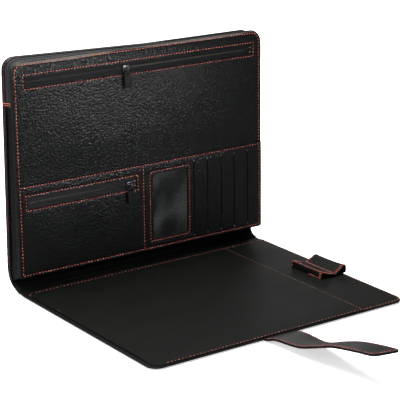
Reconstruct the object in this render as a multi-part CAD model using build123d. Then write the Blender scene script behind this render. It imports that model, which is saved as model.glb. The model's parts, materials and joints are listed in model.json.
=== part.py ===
"""A zip-around leather portfolio case, standing open: the cover lies flat and the compartment stands on
its curved spine.

Lengths are in millimetres.  +X runs to the right along the spine, +Y to the back and +Z up.  While it is
being built the model uses fold coordinates: x = 0 at the middle of the case, y = 0 at the stitch line
between cover and spine, z = 0 at the table.  save() then moves each node so that the origin is the centre
of the cover's underside.
"""
from build123d import *
import os
from math import atan2, cos, degrees, radians, sin

# ---- Driving dimensions -------------------------------------------------------------------------------
CASE_WIDTH = 355.8        # outside width, the same for the cover and the compartment
COVER_DEPTH = 266.0       # fold stitch line to the cover's front edge
COMPARTMENT_TOP = 276.6   # height of the standing compartment above the table
BACK_Y = 38.0             # outer face of the standing back
SPINE_RADIUS = 30.0       # outside radius of the curve from the table up into the back

LEATHER = 1.2             # outside and facing leather
BOARD = 2.0               # stiffening board
LINING = 0.8              # inside lining
SHELL = LEATHER + BOARD + LINING

COVER_CORNER = 14.0       # front corners of the cover
PANEL_CORNER = 13.0       # top corners of the organiser
BACK_CORNER = 15.0        # top corners of the back

FOLD_A_Y = 1.8            # fold between cover and spine, at the height of the lining's face
FOLD_A_GAP = 0.6          # free leather on each side of that fold
FOLD_B_ANGLE = 50.0       # fold between spine and back, in degrees up the spine's curve
FOLD_B_GAP = 2.5          # degrees of the curve left free on each side of that fold

PAD_POCKET_RIGHT = 115.0  # the pad pocket's sewn right edge
PAD_POCKET_SHEET = 1.0
PEN_LOOP_WALL = 1.4
PEN_LOOP_LENGTH = 56.0
PEN_LOOP_CREST = 2.4      # radius outside

# The organiser panel has its own frame: x across, s up the panel, n out of its face.
PANEL_FOOT_Y = 6.4        # where s = 0, the bottom stitch line, crosses the face
PANEL_FOOT_Z = 25.0
PANEL_LEAN = 1.49         # degrees that the panel leans back
STITCH_LEFT = -174.0      # left stitch line: sizes read across the panel start here
STITCH_HEIGHT = 248.0     # bottom stitch line to top stitch line
PANEL_EDGE = 3.6          # leather outside the stitch lines
POCKET_ROOM = 2.0         # room behind the facing for tapes, sliders and pocket sheets
PANEL_DEPTH = LEATHER + POCKET_ROOM + BOARD + LINING

LOWER_PANEL_TOP = 108.5   # top edge of the lower pocket panel
UPPER_PANEL_BOTTOM = 101.0
DIVIDER_X = 170.5         # sewn line between the zip pocket and the card pockets
ID_WINDOW = (184.2, 235.4, 11.0, 93.1)
CARD_SLITS = (245.0, 265.6, 287.0, 307.4, 328.4)
CARD_SLIT_WIDTH = 1.2
CARD_SLIT_BOTTOM = 5.0
CARD_SLIT_TOP = 99.4
CARD_POCKET_WIDTH = 72.0
CARD_SHEET = 0.25
CLEAR_SHEET = 0.3

# Zips: each chain is two coil halves with a narrow gap between them, sewn on two tapes.
COIL_WIDTH = 1.6
COIL_HEIGHT = 1.4
COIL_GAP = 1.0
TAPE = 0.7
TAPE_WIDTH = 13.0
UPPER_ZIP = (12.4, 337.1, 222.3, 234.5)
UPPER_SLIDER_X = 149.0
LOWER_ZIP = (9.6, 160.2, 79.6, 93.4)
LOWER_SLIDER_X = 149.5
MAIN_ZIP_Y = 24.0         # the middle of the main zip's chain
MAIN_ZIP_END_Z = 222.0    # its ends are tacked at this height on both sides
MAIN_SLIDER_Z = 232.0

# Sliders and pulls
SLIDER_LENGTH = 9.5
SLIDER_WIDTH = 7.0
SLIDER_PLATE = 1.0
SLIDER_CLEAR = 0.15
NECK = 0.8
BAIL_WIRE = 0.4           # radius
BAIL_LENGTH = 5.2
BAIL_RISE = 2.4           # bar's axis above the slider's top plate
LINK_LENGTH = 8.4         # the metal link between bail and tab, outside sizes
LINK_HEIGHT = 4.2
LINK_WALL = 0.8
LINK_PLAY = 0.2
TAB_WIDTH = 8.6
TAB_LENGTH = 18.5
TAB_THICKNESS = 2.0
TAB_EYE = 1.0             # radius

# Strap: sewn under the cover's front edge, then free.  Heights are its underside's, above the table.
STRAP_CENTRE_X = -7.7
STRAP_WIDTH = 47.0
STRAP_TIP_WIDTH = 41.0
STRAP_PLY = 1.3
STRAP_ANCHOR_LENGTH = 32.0
STRAP_ROOT_Y = -COVER_DEPTH - 2.0
STRAP_BEND_Y = STRAP_ROOT_Y - 55.0
STRAP_TIP_Y = -439.0
STRAP_ROOT_Z = 0.2
STRAP_BEND_Z = 8.0
STRAP_TIP_Z = 38.5
STRAP_MID_CROWN = 1.8     # how far the first length arches above its chord
STRAP_TIP_CROWN = 4.5
STRAP_GAP = 0.7
STRAP_RELIEF = 1.7        # each inner ply stops this short of the bend, so that the strap can fold over it
STRAP_TIP_CORNER = 9.0
MAGNET_LENGTH = 20.0
MAGNET_WIDTH = 14.0
MAGNET_THICKNESS = 0.8

# ---- Worked out ---------------------------------------------------------------------------------------
HALF = CASE_WIDTH / 2
ORIGIN_Y = COVER_DEPTH / 2
CURVE_Y = BACK_Y - SPINE_RADIUS
CURVE_Z = SPINE_RADIUS
PANEL_SIDE = HALF - LEATHER
PANEL = Plane(
    origin=(0, PANEL_FOOT_Y, PANEL_FOOT_Z),
    x_dir=(1, 0, 0),
    z_dir=(0, -cos(radians(PANEL_LEAN)), sin(radians(PANEL_LEAN))),
)
PANEL_BACK_N = -PANEL_DEPTH
PANEL_TOP_S = STITCH_HEIGHT + PANEL_EDGE
TAPE_EDGE = COIL_GAP / 2
SLIDER_TOP = COIL_HEIGHT + SLIDER_CLEAR + SLIDER_PLATE
BAIL_HEIGHT = SLIDER_TOP + BAIL_RISE
LINK_TOP = LINK_WALL + LINK_PLAY + BAIL_WIRE


# ---- Helpers ------------------------------------------------------------------------------------------
def save(node, shape):
    """Move the shape from fold coordinates to the origin and write it as one STEP file."""
    export_step(Pos(0, ORIGIN_Y, 0) * shape, f"parts/{node}.step")


def block(x, y, z):
    """A box from three (low, high) pairs."""
    size = [high - low for low, high in (x, y, z)]
    middle = [(low + high) / 2 for low, high in (x, y, z)]
    return Pos(*middle) * Box(*size)


def group(solids):
    """Several separate solids that belong to one node."""
    return Compound(children=list(solids))


def rounded_end(half_width, low, high, radius, end):
    """A flat outline across x, with the two corners at one end rounded: end is 0 for low, -1 for high."""
    face = Pos(0, (low + high) / 2) * Rectangle(2 * half_width, high - low)
    return fillet(face.vertices().group_by(Axis.Y)[end], radius)


def on_curve(depth, angle):
    """A point of the shell's section, that far in from its outside and that many degrees up the curve."""
    radius = SPINE_RADIUS - depth
    return (CURVE_Y + radius * sin(radians(angle)), CURVE_Z - radius * cos(radians(angle)))


def curve_arc(depth, start, end):
    """The shell's curve between two angles, as one arc."""
    return ThreePointArc(on_curve(depth, start), on_curve(depth, (start + end) / 2), on_curve(depth, end))


def across(section, half_width):
    """Extrude a section drawn in y and z to both sides of the middle."""
    return extrude(Plane.YZ * section, half_width, both=True)


def spine_layer(outside, inside, half_width):
    """One layer of the spine, between two depths, from the cover's fold up to the back's."""
    start = FOLD_A_Y + FOLD_A_GAP
    stop = FOLD_B_ANGLE - FOLD_B_GAP
    outline = [
        Line((start, outside), (CURVE_Y, outside)),
        curve_arc(outside, 0, stop),
        Line(on_curve(outside, stop), on_curve(inside, stop)),
        curve_arc(inside, stop, 0),
        Line((CURVE_Y, inside), (start, inside)),
        Line((start, inside), (start, outside)),
    ]
    return across(make_face(outline), half_width)


def back_layer(outside, inside, half_width, top):
    """One layer of the back, between two depths, from its fold round the curve and up to the top."""
    start = FOLD_B_ANGLE + FOLD_B_GAP
    outline = [
        curve_arc(outside, start, 90),
        Line((BACK_Y - outside, CURVE_Z), (BACK_Y - outside, top)),
        Line((BACK_Y - outside, top), (BACK_Y - inside, top)),
        Line((BACK_Y - inside, top), (BACK_Y - inside, CURVE_Z)),
        curve_arc(inside, 90, start),
        Line(on_curve(inside, start), on_curve(outside, start)),
    ]
    return across(make_face(outline), half_width)


def standing_outline(inset):
    """The standing back's outline as a prism along y, with rounded top corners."""
    face = rounded_end(HALF - inset, 0, COMPARTMENT_TOP - inset, BACK_CORNER - inset, -1)
    return Pos(0, 2 * BACK_Y, 0) * extrude(Plane.XZ * face, 3 * BACK_Y)


def panel_slab(outline, low, high):
    """A flat outline in the organiser's frame, between two heights out of its face."""
    return PANEL.location * (Pos(0, 0, low) * extrude(outline, high - low))


def panel_box(x, s, n):
    """A box in the organiser's frame; x is read from the left stitch line."""
    return PANEL.location * block([STITCH_LEFT + value for value in x], s, n)


def panel_outline(inset, low):
    """The organiser's outline from a height s up to its top edge."""
    return rounded_end(HALF - inset, low, PANEL_TOP_S - inset, PANEL_CORNER - inset, -1)


def panel_back_y(z):
    """Where the organiser's back face is at a height above the table."""
    lean = radians(PANEL_LEAN)
    return PANEL_FOOT_Y + PANEL_DEPTH / cos(lean) + (z - PANEL_FOOT_Z) * sin(lean) / cos(lean)


# ---- Cover --------------------------------------------------------------------------------------------
def cover_sheet(inset, low, high):
    """A flat layer of the cover, short of the fold at its back edge."""
    rear = FOLD_A_Y - FOLD_A_GAP
    outline = rounded_end(HALF - inset, inset - COVER_DEPTH, rear, COVER_CORNER - inset, 0)
    return Pos(0, 0, low) * extrude(outline, high - low)


def strap_anchor():
    """The strap's sewn end, let into the underside of the cover."""
    x = (STRAP_CENTRE_X - STRAP_WIDTH / 2, STRAP_CENTRE_X + STRAP_WIDTH / 2)
    return block(x, (-COVER_DEPTH, STRAP_ANCHOR_LENGTH - COVER_DEPTH), (0, LEATHER))


def cover_outer_leather():
    """Outside leather, turned up round the front and the sides of the board."""
    tray = cover_sheet(0, 0, LEATHER + BOARD) - cover_sheet(LEATHER, LEATHER, LEATHER + BOARD)
    return tray - strap_anchor()


def pad_pocket_panel():
    """The writing pad's pocket: a sheet sewn at its back, right and front edges, open at the left."""
    outline = rounded_end(HALF - 4, 1 - COVER_DEPTH, FOLD_A_Y - 4, COVER_CORNER - 4, 0)
    right_strip = Rectangle(CASE_WIDTH, 2 * COVER_DEPTH)
    outline -= Pos(PAD_POCKET_RIGHT + CASE_WIDTH / 2, -COVER_DEPTH / 2) * right_strip
    return Pos(0, 0, SHELL) * extrude(outline, PAD_POCKET_SHEET)


INNER_LOOP = ((0, 0), (19.8, 0), (19.8, 2.8), (0.3, 9.2))
OUTER_LOOP = ((0, 0), (22.3, 0), (22.3, 8.0), (19.5, 10.6), (0, 2.8))
VALLEY_HEIGHT = 3.0


def round_crest(outline, radius):
    """Round the corners of a loop's section that stand above the valley between the loops."""
    return fillet([v for v in outline.vertices() if v.Y > VALLEY_HEIGHT], radius)


def pen_loop(outline, left, front):
    """One loop of the pen holder, open at both ends: a wedge, pulled down by the seam between the loops."""
    outside = Polygon(*outline, align=None)
    inside = offset(outside, -PEN_LOOP_WALL, kind=Kind.INTERSECTION)
    wall = round_crest(outside, PEN_LOOP_CREST) - round_crest(inside, PEN_LOOP_CREST - PEN_LOOP_WALL)
    return Pos(left, front, SHELL) * extrude(Plane.XZ * wall, -PEN_LOOP_LENGTH)


def make_cover():
    board = cover_sheet(LEATHER, LEATHER, LEATHER + BOARD)
    save("cover_outer_leather", cover_outer_leather())
    save("cover_board", board)
    save("cover_lining", cover_sheet(0, LEATHER + BOARD, SHELL))
    save("pad_pocket_panel", pad_pocket_panel())
    save("pen_loop_inner", pen_loop(INNER_LOOP, 140.5, -158.5))
    save("pen_loop_outer", pen_loop(OUTER_LOOP, 160.8, -160.0))
    save("strap_anchor", strap_anchor())


# ---- Spine --------------------------------------------------------------------------------------------
def make_spine():
    save("spine_outer_leather", spine_layer(0, LEATHER, HALF - 1.5))
    save("spine_board", spine_layer(LEATHER, LEATHER + BOARD, HALF - 4))
    save("spine_lining", spine_layer(LEATHER + BOARD, SHELL, HALF - 5))


# ---- Compartment shell --------------------------------------------------------------------------------
LIP = 8.0                 # how far the back's leather is turned onto the sides and the top
MAGNET_Z = 193.0          # the keeper plate in the back, where the closed strap's magnet lands


def keeper_plate():
    """The steel plate that holds the strap's magnet, let into the board from outside."""
    x = (STRAP_CENTRE_X - MAGNET_WIDTH / 2, STRAP_CENTRE_X + MAGNET_WIDTH / 2)
    y = (BACK_Y - LEATHER - MAGNET_THICKNESS, BACK_Y - LEATHER)
    return block(x, y, (MAGNET_Z - MAGNET_LENGTH / 2, MAGNET_Z + MAGNET_LENGTH / 2))


def back_outer_leather():
    """The back's outside leather as a shallow tray: it is turned onto the sides and the top."""
    outer = back_layer(0, LIP, HALF, COMPARTMENT_TOP) & standing_outline(0)
    hollow = back_layer(LEATHER, LIP + 1, HALF, COMPARTMENT_TOP) & standing_outline(LEATHER)
    return outer - hollow


def side_gusset(side):
    """The sheet that closes one side between organiser and back, below the zip's end."""
    start = FOLD_B_ANGLE + FOLD_B_GAP
    low_y, low_z = on_curve(SHELL, start)
    outline = [
        Line((panel_back_y(23.0), 23.0), (low_y, low_z)),
        curve_arc(SHELL, start, 90),
        Line((BACK_Y - SHELL, CURVE_Z), (BACK_Y - SHELL, MAIN_ZIP_END_Z)),
        Line((BACK_Y - SHELL, MAIN_ZIP_END_Z), (panel_back_y(MAIN_ZIP_END_Z), MAIN_ZIP_END_Z)),
        Line((panel_back_y(MAIN_ZIP_END_Z), MAIN_ZIP_END_Z), (panel_back_y(23.0), 23.0)),
    ]
    sheet = extrude(Plane.YZ * make_face(outline), LINING)
    low_x = PANEL_SIDE - LINING if side > 0 else -PANEL_SIDE
    return Pos(low_x, 0, 0) * sheet


def bottom_gusset():
    """The sheet from the organiser's bottom edge down to the spine's back fold."""
    low_y, low_z = on_curve(SHELL, FOLD_B_ANGLE + FOLD_B_GAP)
    outline = Polyline(
        (panel_back_y(23.0), 23.0),
        (low_y, low_z),
        (low_y - 0.7, low_z - 0.5),
        (panel_back_y(21.6), 21.6),
        close=True,
    )
    return across(make_face(outline), PANEL_SIDE - LINING)


def zip_hoop(outset, thickness, low_y, high_y):
    """A band up one side, over the top and down the other, above the zip's tacked ends."""
    outer = standing_outline(LEATHER - outset) - standing_outline(LEATHER - outset + thickness)
    window = block((-CASE_WIDTH, CASE_WIDTH), (low_y, high_y), (MAIN_ZIP_END_Z, 2 * COMPARTMENT_TOP))
    return outer & window


def main_zip_tape_front():
    """From the organiser's back edge to the chain."""
    band = zip_hoop(0, TAPE, PANEL_FOOT_Y, MAIN_ZIP_Y - TAPE_EDGE)
    in_front = panel_slab(Rectangle(2 * CASE_WIDTH, 4 * CASE_WIDTH), PANEL_BACK_N, CASE_WIDTH)
    return band - in_front


def main_zip_coil():
    """The chain's two halves, proud of the tapes."""
    inner, outer = COIL_GAP / 2, COIL_GAP / 2 + COIL_WIDTH
    spans = ((-outer, -inner), (inner, outer))
    return group(zip_hoop(COIL_HEIGHT, COIL_HEIGHT, MAIN_ZIP_Y + a, MAIN_ZIP_Y + b) for a, b in spans)


def make_compartment_shell():
    back_half = PANEL_SIDE - LINING
    board_top = COMPARTMENT_TOP - 2 * LEATHER
    rounded = standing_outline(2 * LEATHER)
    board = back_layer(LEATHER, LEATHER + BOARD, back_half, board_top) & rounded
    save("back_outer_leather", back_outer_leather())
    save("back_board", board - keeper_plate())
    save("back_lining", back_layer(LEATHER + BOARD, SHELL, back_half, board_top) & rounded)
    save("strap_keeper_plate", keeper_plate())
    save("side_gusset_left", side_gusset(-1))
    save("side_gusset_right", side_gusset(1))
    save("bottom_gusset", bottom_gusset())
    save("main_zip_tape_front", main_zip_tape_front())
    save("main_zip_tape_back", zip_hoop(0, TAPE, MAIN_ZIP_Y + TAPE_EDGE, BACK_Y - SHELL))
    save("main_zip_coil", main_zip_coil())


# ---- Organiser ----------------------------------------------------------------------------------------
def panel_rim(low, high):
    """The strip of leather turned round the organiser's edge, between two heights s."""
    rim = panel_outline(0, -PANEL_EDGE) - panel_outline(LEATHER, LEATHER - PANEL_EDGE)
    window = Pos(0, (low + high) / 2) * Rectangle(2 * CASE_WIDTH, high - low)
    return rim & window


def upper_pocket_panel():
    """The facing above the middle seam, with the upper zip's window."""
    sheet = panel_slab(panel_outline(0, UPPER_PANEL_BOTTOM), -LEATHER, 0)
    sheet += panel_slab(panel_rim(UPPER_PANEL_BOTTOM, PANEL_TOP_S), PANEL_BACK_N, -LEATHER)
    left, right, low, high = UPPER_ZIP
    return sheet - panel_box((left, right), (low, high), (-2 * LEATHER, LEATHER))


def lower_pocket_panel():
    """The facing below the middle seam, with its zip window, card window and card slits."""
    face = Pos(0, (LOWER_PANEL_TOP - PANEL_EDGE) / 2) * Rectangle(CASE_WIDTH, LOWER_PANEL_TOP + PANEL_EDGE)
    sheet = panel_slab(face, 0, LEATHER)
    sheet += panel_slab(panel_rim(-PANEL_EDGE, UPPER_PANEL_BOTTOM), PANEL_BACK_N, 0)
    for left, right, low, high in (LOWER_ZIP, ID_WINDOW):
        sheet -= panel_box((left, right), (low, high), (-LEATHER, 2 * LEATHER))
    for slit in CARD_SLITS:
        span = (slit, slit + CARD_SLIT_WIDTH)
        sheet -= panel_box(span, (CARD_SLIT_BOTTOM, CARD_SLIT_TOP), (-LEATHER, 2 * LEATHER))
    return sheet


def card_pocket(index):
    """One card pocket's sheet, behind the facing and reaching left from its slit."""
    right = CARD_SLITS[index] + 2 * CARD_SLIT_WIDTH
    left = max(DIVIDER_X + 2, right - CARD_POCKET_WIDTH)
    front = -CLEAR_SHEET - index * CARD_SHEET
    return panel_box((left, right), (3.0, 101.0 - PAD_POCKET_SHEET), (front - CARD_SHEET, front))


def zip_tapes(window, face_n):
    """A pocket zip's two tapes, behind the facing whose back is at face_n."""
    left, right, low, high = window
    middle = (low + high) / 2
    x = (left - 3, right + 3)
    n = (face_n - TAPE, face_n)
    lower = panel_box(x, (middle - TAPE_WIDTH, middle - TAPE_EDGE), n)
    upper = panel_box(x, (middle + TAPE_EDGE, middle + TAPE_WIDTH), n)
    return group((lower, upper))


def zip_coil(window, face_n):
    """A pocket zip's two coil halves, on the outside of its tapes."""
    left, right, low, high = window
    middle = (low + high) / 2
    inner, outer = COIL_GAP / 2, COIL_GAP / 2 + COIL_WIDTH
    spans = ((-outer, -inner), (inner, outer))
    n = (face_n, face_n + COIL_HEIGHT)
    return group(panel_box((left + 0.3, right - 0.3), (middle + a, middle + b), n) for a, b in spans)


def zip_stops(window, face_n):
    """The metal stops at the zip's right end, one on each side of the coil."""
    left, right, low, high = window
    middle = (low + high) / 2
    start = COIL_GAP / 2 + COIL_WIDTH
    spans = ((-start - 1.2, -start), (start, start + 1.2))
    n = (face_n, face_n + COIL_HEIGHT + 0.3)
    return group(panel_box((right - 4.5, right - 1.5), (middle + a, middle + b), n) for a, b in spans)


def make_organiser():
    board_n = (-PANEL_DEPTH + LINING, -PANEL_DEPTH + LINING + BOARD)
    inner = panel_outline(LEATHER, LEATHER - PANEL_EDGE)
    save("organiser_board", panel_slab(inner, *board_n))
    save("organiser_lining", panel_slab(inner, -PANEL_DEPTH, board_n[0]))
    save("upper_pocket_panel", upper_pocket_panel())
    save("lower_pocket_panel", lower_pocket_panel())
    left, right, low, high = ID_WINDOW
    save("id_window", panel_box((left - 3, right + 3), (low - 3, high + 3), (-CLEAR_SHEET, 0)))
    for index in range(len(CARD_SLITS)):
        save(f"card_pocket_{index + 1}", card_pocket(index))
    for name, window, face_n in (("upper", UPPER_ZIP, -LEATHER), ("lower", LOWER_ZIP, 0)):
        save(f"{name}_zip_tapes", zip_tapes(window, face_n))
        save(f"{name}_zip_coil", zip_coil(window, face_n))
        save(f"{name}_zip_stops", zip_stops(window, face_n))


# ---- Sliders and pulls --------------------------------------------------------------------------------
# Each is built on tapes whose outer face is z = 0, with the bail's bar along x and its pull towards -y.
def slider_body():
    """Top and bottom plates joined by a neck that runs between the coil halves, on a chain along x."""
    half = SLIDER_LENGTH / 2
    side = SLIDER_WIDTH / 2
    guide = COIL_GAP / 2 + COIL_WIDTH + SLIDER_CLEAR
    top = COIL_HEIGHT + SLIDER_CLEAR
    bottom = -TAPE - SLIDER_CLEAR
    body = block((-half, half), (-side, side), (top, SLIDER_TOP))
    body += block((-half, half), (guide, side), (SLIDER_CLEAR, top))
    body += block((-half, half), (-side, -guide), (SLIDER_CLEAR, top))
    body += block((half - 3.5, half - 1), (-NECK / 2, NECK / 2), (bottom, top))
    body += block((-half, half), (-side, side), (bottom - 0.8, bottom))
    return body


def bail():
    """The bar that the pull's link hangs on, on two posts."""
    bar = Pos(0, 0, BAIL_HEIGHT) * Rot(0, 90, 0) * Cylinder(BAIL_WIRE, BAIL_LENGTH)
    side = (-BAIL_WIRE, BAIL_WIRE)
    post = block(side, side, (SLIDER_TOP - SLIDER_PLATE / 2, BAIL_HEIGHT))
    reach = BAIL_LENGTH / 2 - BAIL_WIRE
    return bar + Pos(reach, 0, 0) * post + Pos(-reach, 0, 0) * post


def pull_link():
    """A long metal link hanging on the bail's bar, seen edge on from the front."""
    outside = SlotOverall(LINK_LENGTH, LINK_HEIGHT)
    inside = SlotOverall(LINK_LENGTH - 2 * LINK_WALL, LINK_HEIGHT - 2 * LINK_WALL)
    link = extrude(Plane.YZ * (outside - inside), LINK_WALL / 2, both=True)
    return Pos(0, LINK_TOP - LINK_LENGTH / 2, BAIL_HEIGHT) * link


def pull_tab():
    """A leather tab with an eye for the link's far end."""
    eye_y = LINK_TOP - LINK_LENGTH + LINK_WALL
    top = eye_y + 2.2 * TAB_EYE
    outline = Pos(0, top - TAB_LENGTH / 2) * RectangleRounded(TAB_WIDTH, TAB_LENGTH, 1.8)
    tab = Pos(0, 0, BAIL_HEIGHT - TAB_THICKNESS / 2) * extrude(outline, TAB_THICKNESS)
    return tab - Pos(0, eye_y, BAIL_HEIGHT) * Cylinder(TAB_EYE, 2 * TAB_THICKNESS)


def make_pulls():
    upper = PANEL.location * Pos(STITCH_LEFT + UPPER_SLIDER_X, sum(UPPER_ZIP[2:]) / 2, -LEATHER)
    lower = PANEL.location * Pos(STITCH_LEFT + LOWER_SLIDER_X, sum(LOWER_ZIP[2:]) / 2, 0)
    side = Plane(origin=(PANEL_SIDE, MAIN_ZIP_Y, MAIN_SLIDER_Z), x_dir=(0, 1, 0), z_dir=(1, 0, 0))
    for name, place, chain_turn in (("upper", upper, 0), ("lower", lower, 0), ("main", side.location, 90)):
        save(f"{name}_zip_slider", place * (Rot(0, 0, chain_turn) * slider_body() + bail()))
        save(f"{name}_pull_link", place * pull_link())
        save(f"{name}_pull_tab", place * pull_tab())


# ---- Strap --------------------------------------------------------------------------------------------
def strap_length(start, end, crown, low, high):
    """A length of strap between two (y, z) points of its underside, arched by crown, as a face in y and z."""
    rise = atan2(end[1] - start[1], start[0] - end[0])
    middle = ((start[0] + end[0]) / 2, (start[1] + end[1]) / 2)

    def lift(point, height):
        return (point[0] + height * sin(rise), point[1] + height * cos(rise))

    return make_face([
        ThreePointArc(lift(start, low), lift(middle, low + crown), lift(end, low)),
        Line(lift(end, low), lift(end, high)),
        ThreePointArc(lift(end, high), lift(middle, high + crown), lift(start, high)),
        Line(lift(start, high), lift(start, low)),
    ])


def strap_prism(near_y, near_width, far_y, far_width, corner):
    """The strap's plan as a tall prism, narrowing towards its tip."""
    plan = make_face(Polyline(
        (-near_width / 2, near_y),
        (near_width / 2, near_y),
        (far_width / 2, far_y),
        (-far_width / 2, far_y),
        close=True,
    ))
    if corner:
        plan = fillet(plan.vertices().group_by(Axis.Y)[0], corner)
    return Pos(STRAP_CENTRE_X, 0, -100) * extrude(plan, 300)


def strap_width_at(y):
    """The strap narrows evenly from the cover to its tip."""
    share = (STRAP_ROOT_Y - y) / (STRAP_ROOT_Y - STRAP_TIP_Y)
    return STRAP_WIDTH + share * (STRAP_TIP_WIDTH - STRAP_WIDTH)


def strap_plies(name, start, end, crown, corner):
    """The two leathers of one length of strap: returns them for what is let in between them."""
    plan = strap_prism(start[0], strap_width_at(start[0]), end[0], strap_width_at(end[0]), corner)
    relief = Pos(STRAP_CENTRE_X, STRAP_BEND_Y, 0) * Box(2 * STRAP_WIDTH, 2 * STRAP_RELIEF, 4 * STRAP_TIP_Z)
    plies = {}
    for ply, low, high in (("outer", 0, STRAP_PLY), ("inner", STRAP_PLY, 2 * STRAP_PLY)):
        section = strap_length(start, end, crown, low, high)
        sheet = Pos(STRAP_CENTRE_X, 0, 0) * across(section, STRAP_WIDTH)
        plies[f"{name}_{ply}"] = sheet & plan
    plies[f"{name}_inner"] -= relief
    return plies


def make_strap():
    mid = strap_plies(
        "strap_root",
        (STRAP_ROOT_Y - STRAP_GAP, STRAP_ROOT_Z),
        (STRAP_BEND_Y + STRAP_GAP, STRAP_BEND_Z),
        STRAP_MID_CROWN,
        0,
    )
    tip_start = (STRAP_BEND_Y - STRAP_GAP, STRAP_BEND_Z)
    tip_end = (STRAP_TIP_Y, STRAP_TIP_Z)
    tip = strap_plies("strap_tip", tip_start, tip_end, STRAP_TIP_CROWN, STRAP_TIP_CORNER)
    share = 0.72
    rise = tip_end[1] - tip_start[1] + 4 * STRAP_TIP_CROWN * (1 - 2 * share)
    slope = degrees(atan2(rise, tip_start[0] - tip_end[0]))
    magnet_y = tip_start[0] + share * (tip_end[0] - tip_start[0])
    magnet_z = tip_start[1] + share * (tip_end[1] - tip_start[1]) + STRAP_TIP_CROWN * 4 * share * (1 - share)
    magnet = Box(MAGNET_WIDTH, MAGNET_LENGTH, MAGNET_THICKNESS)
    magnet = Pos(STRAP_CENTRE_X, magnet_y, magnet_z + STRAP_PLY) * Rot(-slope, 0, 0) * magnet
    for node, ply in mid.items():
        save(node, ply)
    for node, ply in tip.items():
        save(node, ply - magnet)
    save("strap_magnet", magnet)


os.makedirs("parts", exist_ok=True)
make_cover()
make_spine()
make_compartment_shell()
make_organiser()
make_pulls()
make_strap()
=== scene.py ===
"""A leather portfolio case standing open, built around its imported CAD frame.

Lengths are in millimetres until world() turns them into metres; textures, lights and camera use metres.  The
script uses the case's own fold coordinates: x = 0 at the middle, y = 0 at the stitch line between cover and
spine, z = 0 at the table.
Two surfaces have coordinates of their own:
- the shell (cover, spine and back): x, u along its outside from that stitch line, depth inwards from it
- the organiser: x from its left stitch line, s up from its bottom one, n out of its face
"""

import json
import math

import bmesh
import bpy
from mathutils import Matrix, Vector, geometry, noise

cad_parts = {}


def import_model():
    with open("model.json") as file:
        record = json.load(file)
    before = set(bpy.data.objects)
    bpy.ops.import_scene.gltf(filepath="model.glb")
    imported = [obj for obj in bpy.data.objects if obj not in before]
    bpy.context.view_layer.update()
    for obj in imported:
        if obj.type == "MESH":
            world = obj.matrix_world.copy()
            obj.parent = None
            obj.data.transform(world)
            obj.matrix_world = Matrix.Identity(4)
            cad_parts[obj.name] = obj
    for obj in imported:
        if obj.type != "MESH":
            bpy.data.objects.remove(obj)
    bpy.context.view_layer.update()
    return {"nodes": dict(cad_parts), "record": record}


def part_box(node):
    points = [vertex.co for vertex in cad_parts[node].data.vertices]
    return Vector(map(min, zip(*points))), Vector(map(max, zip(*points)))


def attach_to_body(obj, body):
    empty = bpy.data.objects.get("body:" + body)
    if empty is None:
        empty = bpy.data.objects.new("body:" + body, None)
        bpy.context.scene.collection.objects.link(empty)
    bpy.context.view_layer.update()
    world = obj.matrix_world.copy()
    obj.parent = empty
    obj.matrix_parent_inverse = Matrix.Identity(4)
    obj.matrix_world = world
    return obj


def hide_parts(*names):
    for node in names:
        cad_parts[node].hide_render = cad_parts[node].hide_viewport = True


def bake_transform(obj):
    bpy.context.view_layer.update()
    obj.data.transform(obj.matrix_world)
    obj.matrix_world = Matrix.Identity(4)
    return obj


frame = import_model()
MM = 0.001


# ---- Sizes read from the frame ----
def box_mm(node):
    """A node's lowest and highest corners, in millimetres."""
    return [[value / MM for value in corner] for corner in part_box(node)]


cover_low, cover_high = box_mm("cover_lining")
back_high = box_mm("back_outer_leather")[1]
face_low = box_mm("lower_pocket_panel")[0]
strap_low = box_mm("strap_tip_outer")[0]
root_low, root_high = box_mm("strap_root_outer")
inner_low, inner_high = box_mm("pen_loop_inner")
outer_low = box_mm("pen_loop_outer")[0]

HALF = cover_high[0]
SEAM_Y = -cover_low[1]
COVER_DEPTH = 2 * SEAM_Y
BACK_Y = back_high[1] - SEAM_Y
TOP_Z = back_high[2]
SHELL = cover_high[2]
STRAP_X = (root_low[0] + root_high[0]) / 2
STRAP_HALF = (root_high[0] - root_low[0]) / 2
STRAP_REACH = -strap_low[1] - SEAM_Y

# ---- Sizes of the visible pieces ----
LEATHER = 1.2
LINING = 0.8
PLATE_ROUND = 0.35        # the rounding of the cut edges of the facings and the pad pocket
SPINE_RADIUS = 30.0
CURVE_Y = BACK_Y - SPINE_RADIUS
QUARTER = SPINE_RADIUS * math.pi / 2
TOP_U = CURVE_Y + QUARTER + TOP_Z - SPINE_RADIUS
SPLIT_U = 14.0            # the shell's sheets are in two pieces that meet here, in the middle of the spine
COVER_CORNER = 14.0
BACK_CORNER = 15.0
LIP = 8.0                 # the back's leather turned onto the sides and the top
LIP_AT_SPINE = 3.3        # and the same beside the spine
LEFT_RISE = 3.6           # the compartment's back edge, above its even height at the left
RIGHT_SINK = 7.4          # and below it at the right
SINK_FROM_Z = 205.0       # both fade out down to here
SINK_FROM_Y = 18.0        # and forward to here

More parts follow.
